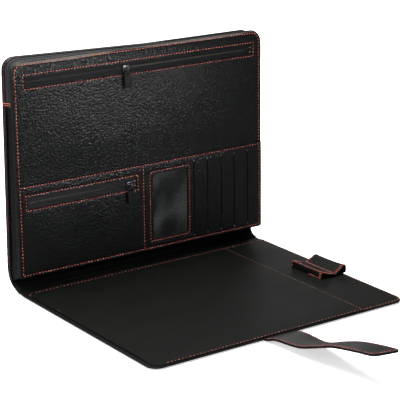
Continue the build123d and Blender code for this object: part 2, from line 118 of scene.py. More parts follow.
PANEL_LEAN = math.radians(1.49)
PANEL_EDGE = 3.6
PANEL_DEPTH = 6.0
STITCH_LEFT = -174.0
PANEL_WIDTH = -2 * STITCH_LEFT
PANEL_HEIGHT = 248.0
PANEL_CORNER = 13.0
PANEL_SIDE_EDGE = HALF + STITCH_LEFT
FOOT_Y = 6.4
FOOT_Z = face_low[2] + PANEL_EDGE * math.cos(PANEL_LEAN) + PANEL_DEPTH * math.sin(PANEL_LEAN)
LOWER_TOP = 108.5         # the lower facing's top edge
UPPER_BOTTOM = 101.0
MID_SEAM = 105.8
DIVIDER_X = 170.5
UPPER_ZIP = (12.4, 337.1, 222.3, 234.5)
LOWER_ZIP = (9.6, 160.2, 79.6, 93.4)
UPPER_SLIDER_X = 149.0
LOWER_SLIDER_X = 149.5
UPPER_BOX = (10.2, 339.3, 220.0, 236.8)
LOWER_BOX = (7.4, 162.4, 77.5, 95.5)
WINDOW = (184.2, 235.4, 11.0, 93.1)
WINDOW_BOX = (179.9, 238.7, 8.4, 96.0)
WINDOW_MARGIN = 3         # the vinyl's hidden edge all round
CARD_SLITS = (245.0, 265.6, 287.0, 307.4, 328.4)
SLIT_WIDTH = 1.2
SLIT_LOW = 5.0
SLIT_HIGH = 99.4
TAPE = 0.7
COIL_HEIGHT = 1.4
MAIN_ZIP_Y = 24.0
ZIP_END_Z = 222.0
MAIN_SLIDER_Z = 232.0
BAIL_HEIGHT = 4.95
LINK_DROP = 7.0           # from the bail's bar down to the eye of a pull's leather

PAD_LEFT = -173.9
PAD_RIGHT = 115.0
PAD_SHEET = 1.0
LOOP_WIDTH = 21.0
LOOP_CREST = 10.0
LOOP_WALL = 1.2
# Each loop's section, up its left side and over, with the radius of each corner.
INNER_LOOP = (((0, 0), (0.4, 8.9), (19.9, 2.8), (19.9, 0)), (0.6, 1.9, 0.9, 0.6))
OUTER_LOOP = (((0, 0), (0, 2.9), (19.0, 10.6), (22.3, 8.2), (22.0, 0)), (0.6, 0.9, 2.6, 2.2, 0.6))
INNER_LEFT, INNER_FRONT = inner_low[0], inner_low[1] - SEAM_Y
OUTER_LEFT, OUTER_FRONT = outer_low[0], outer_low[1] - SEAM_Y
INNER_WIDTH = inner_high[0] - inner_low[0]
LOOP_LENGTH = inner_high[1] - inner_low[1]

STITCH_PITCH = 4.0
COVER_PITCH = 4.8
LOOP_PITCH = 3.0
STITCH_LENGTH = 2.2
THREAD = 0.35             # radius
COVER_SEAM_INSET = 2.75


# ---- Places ----
def world(x, y, z):
    """Fold coordinates in millimetres to the frame's, in metres."""
    return Vector((x, y + SEAM_Y, z)) * MM


def ease(value):
    """0 below 0, 1 above 1, and smooth between."""
    value = min(max(value, 0.0), 1.0)
    return value * value * (3 - 2 * value)


def waves(x, y, size, seed=0.0):
    """Soft random height between about -1 and 1, with hollows and swells of the given size."""
    return noise.noise(Vector((x / size, y / size, seed)))


def shell_yz(u, depth):
    """The shell's section: flat under the cover, round the spine's curve, then up the back."""
    arc = u - CURVE_Y
    if arc <= 0:
        return u, depth
    if arc < QUARTER:
        angle = arc / SPINE_RADIUS
        radius = SPINE_RADIUS - depth
        return CURVE_Y + radius * math.sin(angle), SPINE_RADIUS - radius * math.cos(angle)
    return BACK_Y - depth, SPINE_RADIUS + arc - QUARTER


def top_droop(x, y, z):
    """The compartment's back edge stands a little high at its left end and sinks towards the right."""
    along = (x + HALF) / (2 * HALF)
    sink = (LEFT_RISE + RIGHT_SINK) * along - LEFT_RISE
    return sink * ease((z - SINK_FROM_Z) / 60) * ease((y - SINK_FROM_Y) / 10)


def shell(x, u, depth):
    """A place on the shell, in the frame."""
    y, z = shell_yz(u, depth)
    return world(x, y, z - top_droop(x, y, z))


def panel(x, s, n):
    """A place on the organiser, in the frame."""
    y = FOOT_Y + s * math.sin(PANEL_LEAN) - n * math.cos(PANEL_LEAN)
    return world(STITCH_LEFT + x, y, FOOT_Z + s * math.cos(PANEL_LEAN) + n * math.sin(PANEL_LEAN))


def panel_back_y(z):
    """Where the organiser's back face is at a height above the table."""
    return FOOT_Y + PANEL_DEPTH / math.cos(PANEL_LEAN) + (z - FOOT_Z) * math.tan(PANEL_LEAN)


# ---- Materials ----
def new_material(name, color, roughness, **sockets):
    """A Principled material; further sockets are given by name with underscores for spaces."""
    material = bpy.data.materials.new(name)
    material.use_nodes = True
    shader = material.node_tree.nodes["Principled BSDF"]
    shader.inputs["Base Color"].default_value = (*color, 1)
    shader.inputs["Roughness"].default_value = roughness
    for key, value in sockets.items():
        shader.inputs[key.replace("_", " ")].default_value = value
    return material


def add_node(material, kind, **values):
    """One node of that kind, with its inputs or its properties set by name."""
    node = material.node_tree.nodes.new(kind)
    for key, value in values.items():
        if key in node.inputs:
            node.inputs[key].default_value = value
        else:
            setattr(node, key, value)
    return node


def link(material, start, end):
    material.node_tree.links.new(start, end)


def place_texture(material, texture, stretch=(1, 1, 1), turn=(0, 0, 0)):
    """Drive a texture by the object's own coordinates: turned, then made this many times longer each way."""
    coordinates = add_node(material, "ShaderNodeTexCoord")
    place = {"Scale": stretch, "Rotation": turn}
    mapping = add_node(material, "ShaderNodeMapping", vector_type="TEXTURE", **place)
    link(material, coordinates.outputs["Object"], mapping.inputs["Vector"])
    link(material, mapping.outputs["Vector"], texture.inputs["Vector"])
    return texture


def add_noise(material, scale, detail=3.0, stretch=(1, 1, 1), turn=(0, 0, 0)):
    texture = add_node(material, "ShaderNodeTexNoise", Scale=scale, Detail=detail)
    return place_texture(material, texture, stretch, turn).outputs["Fac"]


def add_cells(material, scale, stretch=(1, 1, 1), turn=(0, 0, 0)):
    """Rounded pebbles: the distance to the nearest of many scattered points."""
    texture = add_node(material, "ShaderNodeTexVoronoi", feature="SMOOTH_F1", Scale=scale, Smoothness=0.35)
    return place_texture(material, texture, stretch, turn).outputs["Distance"]


def add_bands(material, scale, axis, distortion=0.0):
    """Even ribs across that axis, wavy if they have a distortion."""
    texture = add_node(material, "ShaderNodeTexWave", bands_direction=axis, Scale=scale)
    texture.inputs["Distortion"].default_value = distortion
    return place_texture(material, texture).outputs["Fac"]


def mixed_color(material, factor, low, high, dark, light):
    """Base colour that goes from dark to light as the factor goes from low to high."""
    ramp = add_node(material, "ShaderNodeValToRGB")
    ramp.color_ramp.elements[0].position = low
    ramp.color_ramp.elements[0].color = (*dark, 1)
    ramp.color_ramp.elements[1].position = high
    ramp.color_ramp.elements[1].color = (*light, 1)
    link(material, factor, ramp.inputs["Fac"])
    link(material, ramp.outputs["Color"], material.node_tree.nodes["Principled BSDF"].inputs["Base Color"])


def ranged(material, factor, low, high, socket):
    """Send a 0 to 1 factor to a shader socket, as low to high."""
    values = add_node(material, "ShaderNodeMapRange")
    values.inputs["To Min"].default_value = low
    values.inputs["To Max"].default_value = high
    link(material, factor, values.inputs["Value"])
    link(material, values.outputs["Result"], material.node_tree.nodes["Principled BSDF"].inputs[socket])


def add_relief(material, heights):
    """Stack bumps, each (socket, height in millimetres, strength); a negative height makes a hollow."""
    shader = material.node_tree.nodes["Principled BSDF"]
    below = None
    for socket, height, strength in heights:
        bump = add_node(material, "ShaderNodeBump", Strength=strength, Distance=abs(height) * MM)
        bump.invert = height < 0
        link(material, socket, bump.inputs["Height"])
        if below:
            link(material, below.outputs["Normal"], bump.inputs["Normal"])
        below = bump
    link(material, below.outputs["Normal"], shader.inputs["Normal"])


GRAIN_STRETCH = (1.8, 1, 1)
GRAIN_TURN = -0.65        # radians about y: the grain's pebbles lie on a slant


def grained_leather(name, pebble, height, dark, light, roughness, shine=0.22):
    """Black leather with a slanting pebbled grain, a fine mottle in its colour and an uneven finish."""
    material = new_material(name, dark, roughness, Specular_IOR_Level=shine)
    grain = add_cells(material, 1000 / pebble, GRAIN_STRETCH, turn=(0, GRAIN_TURN, 0))
    mottle = add_noise(material, 1900 / pebble, detail=4.0)
    patches = add_noise(material, 24.0, detail=2.0)
    mixed_color(material, mottle, 0.3, 0.75, dark, light)
    ranged(material, patches, roughness - 0.05, roughness + 0.10, "Roughness")
    add_relief(material, ((grain, height, 0.9), (patches, -0.5, 0.12)))
    return material


def smooth_leather(name, dark, light, roughness, shine=0.2):
    """Lining leather, plain thread and nylon: a very fine grain, faint scuffs and soft undulation."""
    material = new_material(name, dark, roughness, Specular_IOR_Level=shine)
    grain = add_cells(material, 1900.0, stretch=(1, 1.25, 1))
    scuffs = add_noise(material, 60.0, detail=6.0, stretch=(3.5, 1, 1), turn=(0, 0, 0.5))
    patches = add_noise(material, 16.0, detail=2.0)
    mixed_color(material, scuffs, 0.3, 0.8, dark, light)
    ranged(material, patches, roughness - 0.06, roughness + 0.08, "Roughness")
    add_relief(material, ((grain, 0.06, 0.5), (patches, -0.6, 0.15)))
    return material


def woven(name, color, light, axis):
    """Zip tape and lining cloth: ribs, crossed by a fine slanting weft."""
    material = new_material(name, color, 0.6, Specular_IOR_Level=0.2, Sheen_Weight=0.06, Sheen_Roughness=0.4)
    ribs = add_bands(material, 330.0, axis)
    weft = add_bands(material, 700.0, "DIAGONAL", distortion=1.0)
    mixed_color(material, ribs, 0.2, 0.9, color, light)
    add_relief(material, ((ribs, 0.25, 0.8), (weft, 0.1, 0.5)))
    return material


def thread(name, dark, light):
    """Orange-red polyester thread: a shiny twist, its colour uneven from stitch to stitch."""
    material = new_material(name, dark, 0.38, Sheen_Weight=0.15, Specular_IOR_Level=0.4)
    tone = add_noise(material, 240.0, detail=1.0)
    twist = add_bands(material, 900.0, "DIAGONAL")
    mixed_color(material, tone, 0.35, 0.65, dark, light)
    add_relief(material, ((twist, 0.1, 0.5),))
    return material


def metal(name, color, roughness):
    """Plated metal with faint wear and brushing."""
    material = new_material(name, color, roughness, Metallic=1.0)
    wear = add_noise(material, 900.0, detail=5.0, stretch=(4, 4, 1))
    mixed_color(material, wear, 0.35, 0.7, color, tuple(min(1.0, c * 1.5) for c in color))
    ranged(material, wear, roughness - 0.06, roughness + 0.14, "Roughness")
    add_relief(material, ((wear, 0.03, 0.35),))
    return material


def clear_vinyl():
    """Soft clear sheet: a cloudy grey haze over the black behind it, painted in as the reflection of light
    off the sheet's wrinkles, and a soft ripple.
    """
    material = new_material("clear_vinyl", (0.05, 0.06, 0.065), 0.25, Specular_IOR_Level=0.5, Alpha=0.7)
    painted_reflection_haze = add_noise(material, 30.0, detail=1.5, stretch=(1, 1, 1.8), turn=(0, 0.6, 0))
    ripple = add_noise(material, 60.0, detail=1.0, stretch=(1, 1, 1.8))
    # Painted reflection: the lighter end of this ramp gives slanting grey patches where the wrinkled sheet
    # would reflect the light.
    mixed_color(material, painted_reflection_haze, 0.40, 0.70, (0.007, 0.008, 0.008), (0.064, 0.071, 0.070))
    add_relief(material, ((ripple, -0.6, 0.2),))
    return material


def board_material():
    material = new_material("grey_board", (0.09, 0.08, 0.07), 0.85)
    fibres = add_noise(material, 500.0, detail=6.0)
    mixed_color(material, fibres, 0.3, 0.7, (0.07, 0.06, 0.05), (0.14, 0.125, 0.11))
    add_relief(material, ((fibres, 0.1, 0.5),))
    return material


def floor_material():
    """A white table that glows a little, so that it stays white right up to the case."""
    glow = {"Emission_Color": (1, 1, 1, 1), "Emission_Strength": 0.6}
    material = new_material("pale_floor", (0.9, 0.9, 0.9), 0.6, **glow)
    tone = add_noise(material, 3.0, detail=1.0)
    mixed_color(material, tone, 0.2, 0.8, (0.90, 0.90, 0.90), (0.92, 0.92, 0.92))
    return material


GRAINED = grained_leather(
    "grained_leather", 1.6, -0.62, (0.0020, 0.0023, 0.0022), (0.0048, 0.0054, 0.0052), 0.27)
EDGE_LEATHER = grained_leather("edge_leather", 1.3, 0.2, (0.003, 0.003, 0.0032), (0.006, 0.006, 0.0063), 0.45)
SMOOTH = smooth_leather(
    "smooth_leather", (0.0029, 0.0033, 0.0028), (0.0042, 0.0047, 0.0040), 0.52, shine=0.045)
STRAP_LEATHER = grained_leather(
    "strap_leather", 1.0, 0.14, (0.0035, 0.0036, 0.0036), (0.006, 0.006, 0.006), 0.40, shine=0.17)
TAPE_COLORS = ((0.004, 0.004, 0.0045), (0.013, 0.013, 0.014))
TAPE_ACROSS = woven("zip_tape_z", *TAPE_COLORS, "Z")
TAPE_ALONG = woven("zip_tape_y", *TAPE_COLORS, "Y")
CLOTH = woven("lining_cloth", (0.006, 0.006, 0.007), (0.012, 0.012, 0.013), "X")
NYLON = smooth_leather("coil_nylon", (0.007, 0.007, 0.0075), (0.013, 0.013, 0.014), 0.34, shine=0.4)
THREAD_RED = thread("red_thread", (0.26, 0.022, 0.012), (0.72, 0.17, 0.11))
THREAD_COVER = thread("cover_thread", (0.13, 0.014, 0.009), (0.45, 0.10, 0.065))
# A darker copy of the red thread. On the lip's rows its darkness is painted shade, for rows that lie in shade
# down the case's sides; on the pad pocket's right edge it just gives a darker row.
THREAD_DARK_AND_SHADED = thread("dark_and_shaded_thread", (0.05, 0.008, 0.006), (0.17, 0.035, 0.025))
THREAD_BLACK = smooth_leather("black_thread", (0.006, 0.006, 0.0065), (0.014, 0.014, 0.015), 0.45)
# Pale grey thread for the card slits' tacks: its paleness is a painted glint.
THREAD_PAINTED_GLINT = smooth_leather("painted_glint_thread", (0.10, 0.09, 0.09), (0.16, 0.15, 0.15), 0.5)
DARK_METAL = metal("dark_metal", (0.11, 0.11, 0.115), 0.2)
BRIGHT_METAL = metal("bright_metal", (0.5, 0.5, 0.51), 0.18)
VINYL = clear_vinyl()
BOARD = board_material()


# ---- Mesh helpers ----
SHARP = math.radians(42)
RIM_ANGLE = 0.6           # radians; a plate's edges sharper than this are rounded
CAP_INSET = 0.35


def add_grid(bm, rows, around=False):
    """Quads between rows of points; around joins each row's end to its start."""
    made = [[bm.verts.new(point) for point in row] for row in rows]
    for low, high in zip(made, made[1:]):
        columns = range(len(low) if around else len(low) - 1)
        for i in columns:
            j = (i + 1) % len(low)
            bm.faces.new((low[i], low[j], high[j], high[i]))
    return made


def add_ring_caps(bm, made):
    """Close both ends of a tube that add_grid made."""
    for ring in (made[0], made[-1]):
        bm.faces.new(ring)


def finish_piece(name, bm, material, weld=True):
    """Weld, orient and shade a mesh, and put it in the scene."""
    if weld:
        bmesh.ops.remove_doubles(bm, verts=bm.verts, dist=2e-6)
    bmesh.ops.recalc_face_normals(bm, faces=bm.faces)
    mesh = bpy.data.meshes.new(name)
    bm.to_mesh(mesh)
    bm.free()
    mesh.shade_smooth()
    mesh.set_sharp_from_angle(angle=SHARP)
    mesh.materials.append(material)
    piece = bpy.data.objects.new(name, mesh)
    bpy.context.scene.collection.objects.link(piece)
    return piece


FOLD_A = (shell(0, 0.6, 4.0), shell(0, 6.0, 4.0))
FOLD_B = (shell(0, CURVE_Y + SPINE_RADIUS * math.radians(37), 2.0),
          shell(0, CURVE_Y + SPINE_RADIUS * math.radians(64), 2.0))
STRAP_FOLD_A = (world(STRAP_X, -COVER_DEPTH - 0.4, 1), world(STRAP_X, -COVER_DEPTH - 6.0, 1))
STRAP_FOLD_B = (world(STRAP_X, -COVER_DEPTH - 51, 5), world(STRAP_X, -COVER_DEPTH - 63, 5))
BENDS = {
    "fold_a": ("cover", "spine", *FOLD_A),
    "fold_b": ("spine", "compartment", *FOLD_B),
    "strap_a": ("cover", "strap_root", *STRAP_FOLD_A),
    "strap_b": ("strap_root", "strap_tip", *STRAP_FOLD_B),
}


def constant(value):
    """A function that gives the same value everywhere."""
    return lambda *place: value


def attach(piece, carrier):
    """Ride on a body; for one of BENDS, only bake the piece's transform into its mesh, at rest."""
    if carrier in BENDS:
        lower, upper, start, end = BENDS[carrier]
        tuple(start)
        tuple(end)
        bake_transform(piece)
    else:
        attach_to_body(piece, carrier)
    return piece


def steps(start, end, size):
    """Evenly spaced values from start to end, about that size apart."""
    count = max(1, round(abs(end - start) / size))
    return [start + (end - start) * i / count for i in range(count + 1)]


def arc_points(centre, radius, start, end, count=8):
    """Points of an arc between two angles in degrees."""
    angles = [math.radians(start + (end - start) * i / count) for i in range(count + 1)]
    return [(centre[0] + radius * math.cos(a), centre[1] + radius * math.sin(a)) for a in angles]


def closed_path(points):
    return points + [points[0]]


def path_length(path):
    return sum(math.dist(a, b) for a, b in zip(path, path[1:]))


def walk(path, distance):
    """The point and the direction of travel at a distance along a path of 2-D points."""
    last = len(path) - 2
    for i, (a, b) in enumerate(zip(path, path[1:])):
        length = math.dist(a, b)
        if distance <= length or i == last:
            break
        distance -= length
    direction = ((b[0] - a[0]) / length, (b[1] - a[1]) / length)
    return (a[0] + distance * direction[0], a[1] + distance * direction[1]), direction


def rounded_box(left, right, low, high, corners):
    """A closed outline from the bottom left round by the right; corners are radii in that order."""
    spots = ((left, low, 1, 1), (right, low, -1, 1), (right, high, -1, -1), (left, high, 1, -1))
    points = []
    for (x, y, in_x, in_y), radius, start in zip(spots, corners, (180, 270, 0, 90)):
        centre = (x + in_x * radius, y + in_y * radius)
        points += arc_points(centre, radius, start, start + 90) if radius > 0 else [(x, y)]
    return points


def distance_to(x, y, line):
    """How far a point is from a line segment (x0, y0, x1, y1)."""
    x0, y0, x1, y1 = line
    length = (x1 - x0) ** 2 + (y1 - y0) ** 2
    along = min(max(((x - x0) * (x1 - x0) + (y - y0) * (y1 - y0)) / length, 0), 1)
    return math.hypot(x - x0 - along * (x1 - x0), y - y0 - along * (y1 - y0))


SEAM_DIP = 0.34
SEAM_WIDTH = 1.3


def seam_dip(x, y, seams):
    """How much the leather is pulled down by the nearest seam's thread."""
    nearest = min(distance_to(x, y, seam) for seam in seams)
    return SEAM_DIP * math.exp(-((nearest / SEAM_WIDTH) ** 2))


def plate(name, loops, low, high, place, material, cuts=((), ()), edge=0.4, square=None):
    """A sheet of leather cut to an outline with holes, its edges rounded, laid on a surface by place().
    cuts are the x and the y values where it needs extra edges, and square keeps some edges unrounded."""
    bm = bmesh.new()
    flat = [point for loop in loops for point in loop]
    lower = [bm.verts.new((x, y, low)) for x, y in flat]
    upper = [bm.verts.new((x, y, high)) for x, y in flat]
    for face in geometry.tessellate_polygon([[Vector((x, y, 0)) for x, y in loop] for loop in loops]):
        bm.faces.new([lower[i] for i in face])
        bm.faces.new([upper[i] for i in reversed(face)])
    first = 0
    for loop in loops:
        for i in range(len(loop)):
            a, b = first + i, first + (i + 1) % len(loop)
            bm.faces.new((lower[a], lower[b], upper[b], upper[a]))
        first += len(loop)
    bmesh.ops.recalc_face_normals(bm, faces=bm.faces)
    bmesh.ops.dissolve_limit(bm, angle_limit=0.01, verts=bm.verts, edges=bm.edges)
    rims = [e for e in bm.edges if len(e.link_faces) == 2 and e.calc_face_angle(0) > RIM_ANGLE]
    if square:
        rims = [e for e in rims if not all(square(v.co.x, v.co.y) for v in e.verts)]
    bmesh.ops.bevel(bm, geom=rims, offset=edge, segments=2, profile=0.5, affect="EDGES", clamp_overlap=True)
    caps = [f for f in bm.faces if abs(f.normal.z) > 0.999]
    bmesh.ops.inset_region(bm, faces=caps, thickness=CAP_INSET, use_even_offset=True)
    for axis, values in enumerate(cuts):
        normal = Vector((1, 0, 0)) if axis == 0 else Vector((0, 1, 0))
        for value in values:
            parts = bm.verts[:] + bm.edges[:] + bm.faces[:]
            bmesh.ops.bisect_plane(bm, geom=parts, dist=1e-3, plane_co=normal * value, plane_no=normal)
    bmesh.ops.triangulate(bm, faces=[f for f in bm.faces if len(f.verts) > 4])
    for vertex in bm.verts:
        vertex.co = place(*vertex.co)
    return finish_piece(name, bm, material, weld=False)


def around_seams(values):
    """Cut positions beside and on each seam."""
    return [value + offset for value in values for offset in (-2.2, -1.0, 0, 1.0, 2.2)]


def surface(name, rows, material):
    """A piece made of one grid of points."""
    bm = bmesh.new()
    add_grid(bm, rows)
    return finish_piece(name, bm, material)


def merged(pieces, name):
    """Join pieces into one."""
    bm = bmesh.new()
    for piece in pieces:
        bm.from_mesh(piece.data)
    mesh = bpy.data.meshes.new(name)
    bm.to_mesh(mesh)
    bm.free()
    mesh.set_sharp_from_angle(angle=SHARP)
    mesh.materials.append(pieces[0].data.materials[0])
    result = bpy.data.objects.new(name, mesh)
    bpy.context.scene.collection.objects.link(result)
    for piece in pieces:
        bpy.data.objects.remove(piece)
    return result


# ---- Stitching ----
# Along a stitch: the share of its length from the middle, the thread's height and its thickness.
STITCH_STATIONS = ((-0.5, -0.6, 0.7), (-0.34, 0.08, 1.0), (0, 0.3, 1.05), (0.34, 0.08, 1.0), (0.5, -0.6, 0.7))
STITCH_SIDES = 6
STITCH_SLANT = 0.12


def spaced(path, pitch):
    """Evenly spaced (point, direction) pairs along a path of 2-D points."""
    total = path_length(path)
    count = max(1, round(total / pitch))
    return [walk(path, total * (i + 0.5) / count) for i in range(count)]


def add_stitch(bm, place, point, direction, height, length=STITCH_LENGTH, slant=STITCH_SLANT):
    """One stitch: a short thread that comes up out of the leather, runs along it and dives back in."""
    cos, sin = math.cos(slant), math.sin(slant)
    along = (direction[0] * cos - direction[1] * sin, direction[0] * sin + direction[1] * cos)
    side = (-along[1], along[0])
    rings = []
    for share, lift, fat in STITCH_STATIONS:
        x = point[0] + along[0] * share * length
        y = point[1] + along[1] * share * length
        ring = []
        for i in range(STITCH_SIDES):
            angle = 2 * math.pi * i / STITCH_SIDES
            across = THREAD * fat * math.cos(angle)
            up = THREAD * fat * math.sin(angle)
            ring.append(place(x + side[0] * across, y + side[1] * across, height(x, y) + lift + up))
        rings.append(ring)
    add_ring_caps(bm, add_grid(bm, rings, around=True))


def stitching(name, rows, carrier, material=THREAD_RED, pitch=STITCH_PITCH):
    """Rows of stitches as one piece; each row is (place, path, height), its height above the surface."""
    bm = bmesh.new()
    for place, path, height in rows:
        for point, direction in spaced(path, pitch):
            add_stitch(bm, place, point, direction, height)
    return attach(finish_piece(name, bm, material, weld=False), carrier)


# ---- Shell: cover, spine and back ----
CORNER_STEPS = 9
ANCHOR_LEFT = STRAP_X - STRAP_HALF
ANCHOR_RIGHT = STRAP_X + STRAP_HALF
ANCHOR_LENGTH = 32.0
ANCHOR_RECESS = 1.3       # how deep the strap's end is let into the underside
NOTCH = 0.08              # the width of the step round it
ANCHOR_CUTS = [ANCHOR_LEFT - NOTCH, ANCHOR_LEFT, ANCHOR_RIGHT, ANCHOR_RIGHT + NOTCH]
FOLD_ROWS = [SPLIT_U, 11, 8.5, 6.5, 5.2, 4, 3, 2, 1, 0, -1, -2.5, -5, -10, -22]
ANCHOR_END = ANCHOR_LENGTH - COVER_DEPTH
COVER_ROWS = FOLD_ROWS + steps(-40, -220, 18) + [ANCHOR_END, ANCHOR_END - NOTCH, COVER_CORNER - COVER_DEPTH]
COVER_COLUMNS = sorted(steps(-155, 155, 18) + ANCHOR_CUTS)
BACK_ROWS = (steps(SPLIT_U, CURVE_Y + QUARTER + 4, 1.8) + steps(CURVE_Y + QUARTER + 12, TOP_U - 30, 14)
             + [TOP_U - 22, TOP_U - BACK_CORNER])
BACK_COLUMNS = steps(-155, 155, 18)
# Each profile is (distance in from the edge, depth from the outside), from the inner face round to the outer.
COVER_LEATHER_PROFILE = ((COVER_CORNER, 1.3), (1.2, 1.5), (1.2, 3.1), (9.0, 3.15), (9.1, 3.35), (0.8, 3.4),
                         (0.2, 3.1), (0, 2.5), (0.1, 1.9), (0.6, 1.35), (1.8, 0.95), (4.5, 0.45), (8.5, 0.05),
                         (COVER_CORNER, 0))
LINING_PROFILE = ((COVER_CORNER, 3.2), (0.75, 3.2), (0.45, 3.4), (0.45, 3.65), (0.7, 3.92), (1.2, 4.0),
                  (2.0, 3.96), (2.75, 3.76), (3.5, 3.96), (4.6, 4.0), (COVER_CORNER, 4.0))
BACK_PROFILE = ((BACK_CORNER, 1.2), (1.2, 1.2), (1.2, LIP - 0.2), (0.9, LIP), (0.4, LIP), (0.1, LIP - 0.3),
                (0, LIP - 1.6), (0.12, LIP - 2.6), (0, LIP - 3.6), (0, 1.3), (0.35, 0.4), (1.2, 0), (4, 0),
                (BACK_CORNER, 0))


def spine_width(u):
    """Half the outside leather's width: it is a little narrower where it turns up into the spine."""
    return HALF - 1.5 * ease(1 - abs(u - 17) / 20)


def lining_width(u):
    """Half the lining's width: it stops short of the shell's edges in the spine."""
    return HALF - 2.6 * ease((u - 0.5) / 8)


def u_outline(inset, half_at, corner, rows, far, columns):
    """Points up the left side, round two corners at the far end and back down the right side."""
    turn = rows[-1]
    out = 1 if far > turn else -1
    radius = corner - inset
    hub = half_at(turn) - corner
    left = [(inset - half_at(u), u) for u in rows]
    for i in range(1, CORNER_STEPS):
        angle = math.pi / 2 * i / CORNER_STEPS
        left.append((-hub - radius * math.cos(angle), turn + out * radius * math.sin(angle)))
    left.append((-hub, far - out * inset))
    right = [(-x, u) for x, u in reversed(left)]
    return left + [(x, far - out * inset) for x in columns] + right


def tray(name, place, half_at, corner, rows, far, columns, profile, material):
    """A sheet with a shaped rim on three sides; its fourth side is left open where another piece meets it."""
    bm = bmesh.new()
    rim = []
    for inset, depth in profile:
        outline = u_outline(inset, half_at, corner, rows, far, columns)
        rim.append([place(x, u, depth) for x, u in outline])
    add_grid(bm, rim)
    for depth in (profile[0][1], profile[-1][1]):
        field = []
        for u in rows:
            half = half_at(u) - corner
            field.append([place(x, u, depth) for x in (-half, *columns, half)])
        add_grid(bm, field)
    return finish_piece(name, bm, material)


def cover_skin(x, u, depth):
    """The cover's outside, hollowed on its underside where the strap's end is let in."""
    if depth < 1.25 and ANCHOR_LEFT <= x <= ANCHOR_RIGHT and u <= ANCHOR_END - NOTCH:
        depth = ANCHOR_RECESS
    return shell(x, u, depth)


def lip_at(u):
    """How far the outside leather is turned over: the board's thickness at the spine, wider up the back."""
    return LIP_AT_SPINE + (LIP - LIP_AT_SPINE) * ease((u - 26) / 22)


def back_skin(x, u, depth):
    """The back's outside, its lip narrowing down to the spine, with a soft unevenness."""
    start = 2.0
    if depth > start:
        depth = start + (depth - start) * (lip_at(u) - start) / (LIP - start)
    swell = 0.35 * waves(x, u, 60, 3) * ease((HALF - abs(x)) / 30) if depth < start else 0
    return shell(x, u, depth + max(swell, 0))


def lining_skin(x, u, depth):
    """The lining's inside face, very slightly uneven."""
    return shell(x, u, depth + 0.12 * waves(x, u, 45, 8) * ease((depth - 3.3) / 0.6))


def make_shell():
    """The cover's leather and lining, which run on into the spine, and the back's leather."""
    args = (COVER_CORNER, COVER_ROWS, -COVER_DEPTH, COVER_COLUMNS)
    outside = tray("cover_leather", cover_skin, spine_width, *args, COVER_LEATHER_PROFILE, GRAINED)
    attach(outside, "fold_a")
    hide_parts("cover_outer_leather", "spine_outer_leather")
    lining = tray("cover_lining_leather", lining_skin, lining_width, *args, LINING_PROFILE, SMOOTH)
    attach(lining, "fold_a")
    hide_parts("cover_lining")
    args = (BACK_CORNER, BACK_ROWS, TOP_U, BACK_COLUMNS)
    back = tray("back_leather", back_skin, spine_width, *args, BACK_PROFILE, GRAINED)
    attach(back, "fold_b")
    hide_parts("back_outer_leather")


GUSSET_TOP = 23.5         # the bottom gusset's sewn edge, above the table


def make_spine_lining():
    """From the middle of the spine up past the back fold, then on as the gusset under the organiser."""
    path = [shell_yz(u, SHELL) for u in steps(SPLIT_U, CURVE_Y + SPINE_RADIUS * math.radians(50), 1.8)]
    low, high = path[-1], (panel_back_y(GUSSET_TOP) + 0.2, GUSSET_TOP)
    for i in range(1, 9):
        share = i / 8
        sag = 1.1 * math.sin(math.pi * share)
        y = low[0] + share * (high[0] - low[0]) - 0.4 * sag
        path.append((y, low[1] + share * (high[1] - low[1]) - sag))
    half = lining_width(SPLIT_U)
    columns = [-half, 1 - half, *steps(-160, 160, 16), half - 1, half]
    rows = [[world(x, y, z + 0.25 * waves(x, 9 * i, 40, 5) * ease(i / 6)) for x in columns]
            for i, (y, z) in enumerate(path)]
    piece = surface("spine_lining_leather", rows, SMOOTH)
    thicken(piece, LINING)
    attach(piece, "fold_b")
    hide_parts("spine_lining", "bottom_gusset")
    size = (2 * half * MM, path_length(path) * MM)


def thicken(piece, amount):
    """Give a surface thickness, for good."""
    modifier = piece.modifiers.new("thickness", "SOLIDIFY")
    modifier.thickness = amount * MM
    modifier.offset = -1
    graph = bpy.context.evaluated_depsgraph_get()
    graph.update()
    mesh = bpy.data.meshes.new_from_object(piece.evaluated_get(graph))
    piece.modifiers.clear()
    piece.data = mesh


# ---- Cover: pad pocket, pen loops, seams ----
PAD_FRONT = 1.3 - COVER_DEPTH
PAD_BACK = -2.2


FRONT_SEAM_U = COVER_SEAM_INSET - COVER_DEPTH
PAD_PUFF = 0.75
PAD_WAVES = 0.25


def pad_puff(x, u):
    """How far the pad pocket's sheet stands off the lining: sewn down at the back, right and front."""
    sewn = min(PAD_BACK - u, u - FRONT_SEAM_U, PAD_RIGHT - x)
    return PAD_PUFF * ease((sewn - 1.5) / 26) + PAD_WAVES * waves(x, u, 55, 1) * ease(sewn / 40)


def pad_place(x, u, depth):
    """The pad pocket's sheet, pulled down a little along its front seam."""
    dip = 0.2 * math.exp(-(((u - FRONT_SEAM_U) / 0.9) ** 2))
    return shell(x, u, SHELL + 0.02 + depth + pad_puff(x, u) - dip)


def make_pad_pocket():
    outline = rounded_box(PAD_LEFT, PAD_RIGHT, PAD_FRONT, PAD_BACK, (COVER_CORNER - 3, 0, 0, 0))
    seam_cuts = [FRONT_SEAM_U + offset for offset in (-0.7, 0, 0.7)]
    cuts = (steps(PAD_LEFT + 6, PAD_RIGHT - 6, 11), steps(PAD_FRONT + 8, PAD_BACK - 6, 11) + seam_cuts)
    pad = plate("pad_pocket_leather", [outline], 0, PAD_SHEET, pad_place, SMOOTH, cuts, edge=PLATE_ROUND)
    attach(pad, "cover")
    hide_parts("pad_pocket_panel")


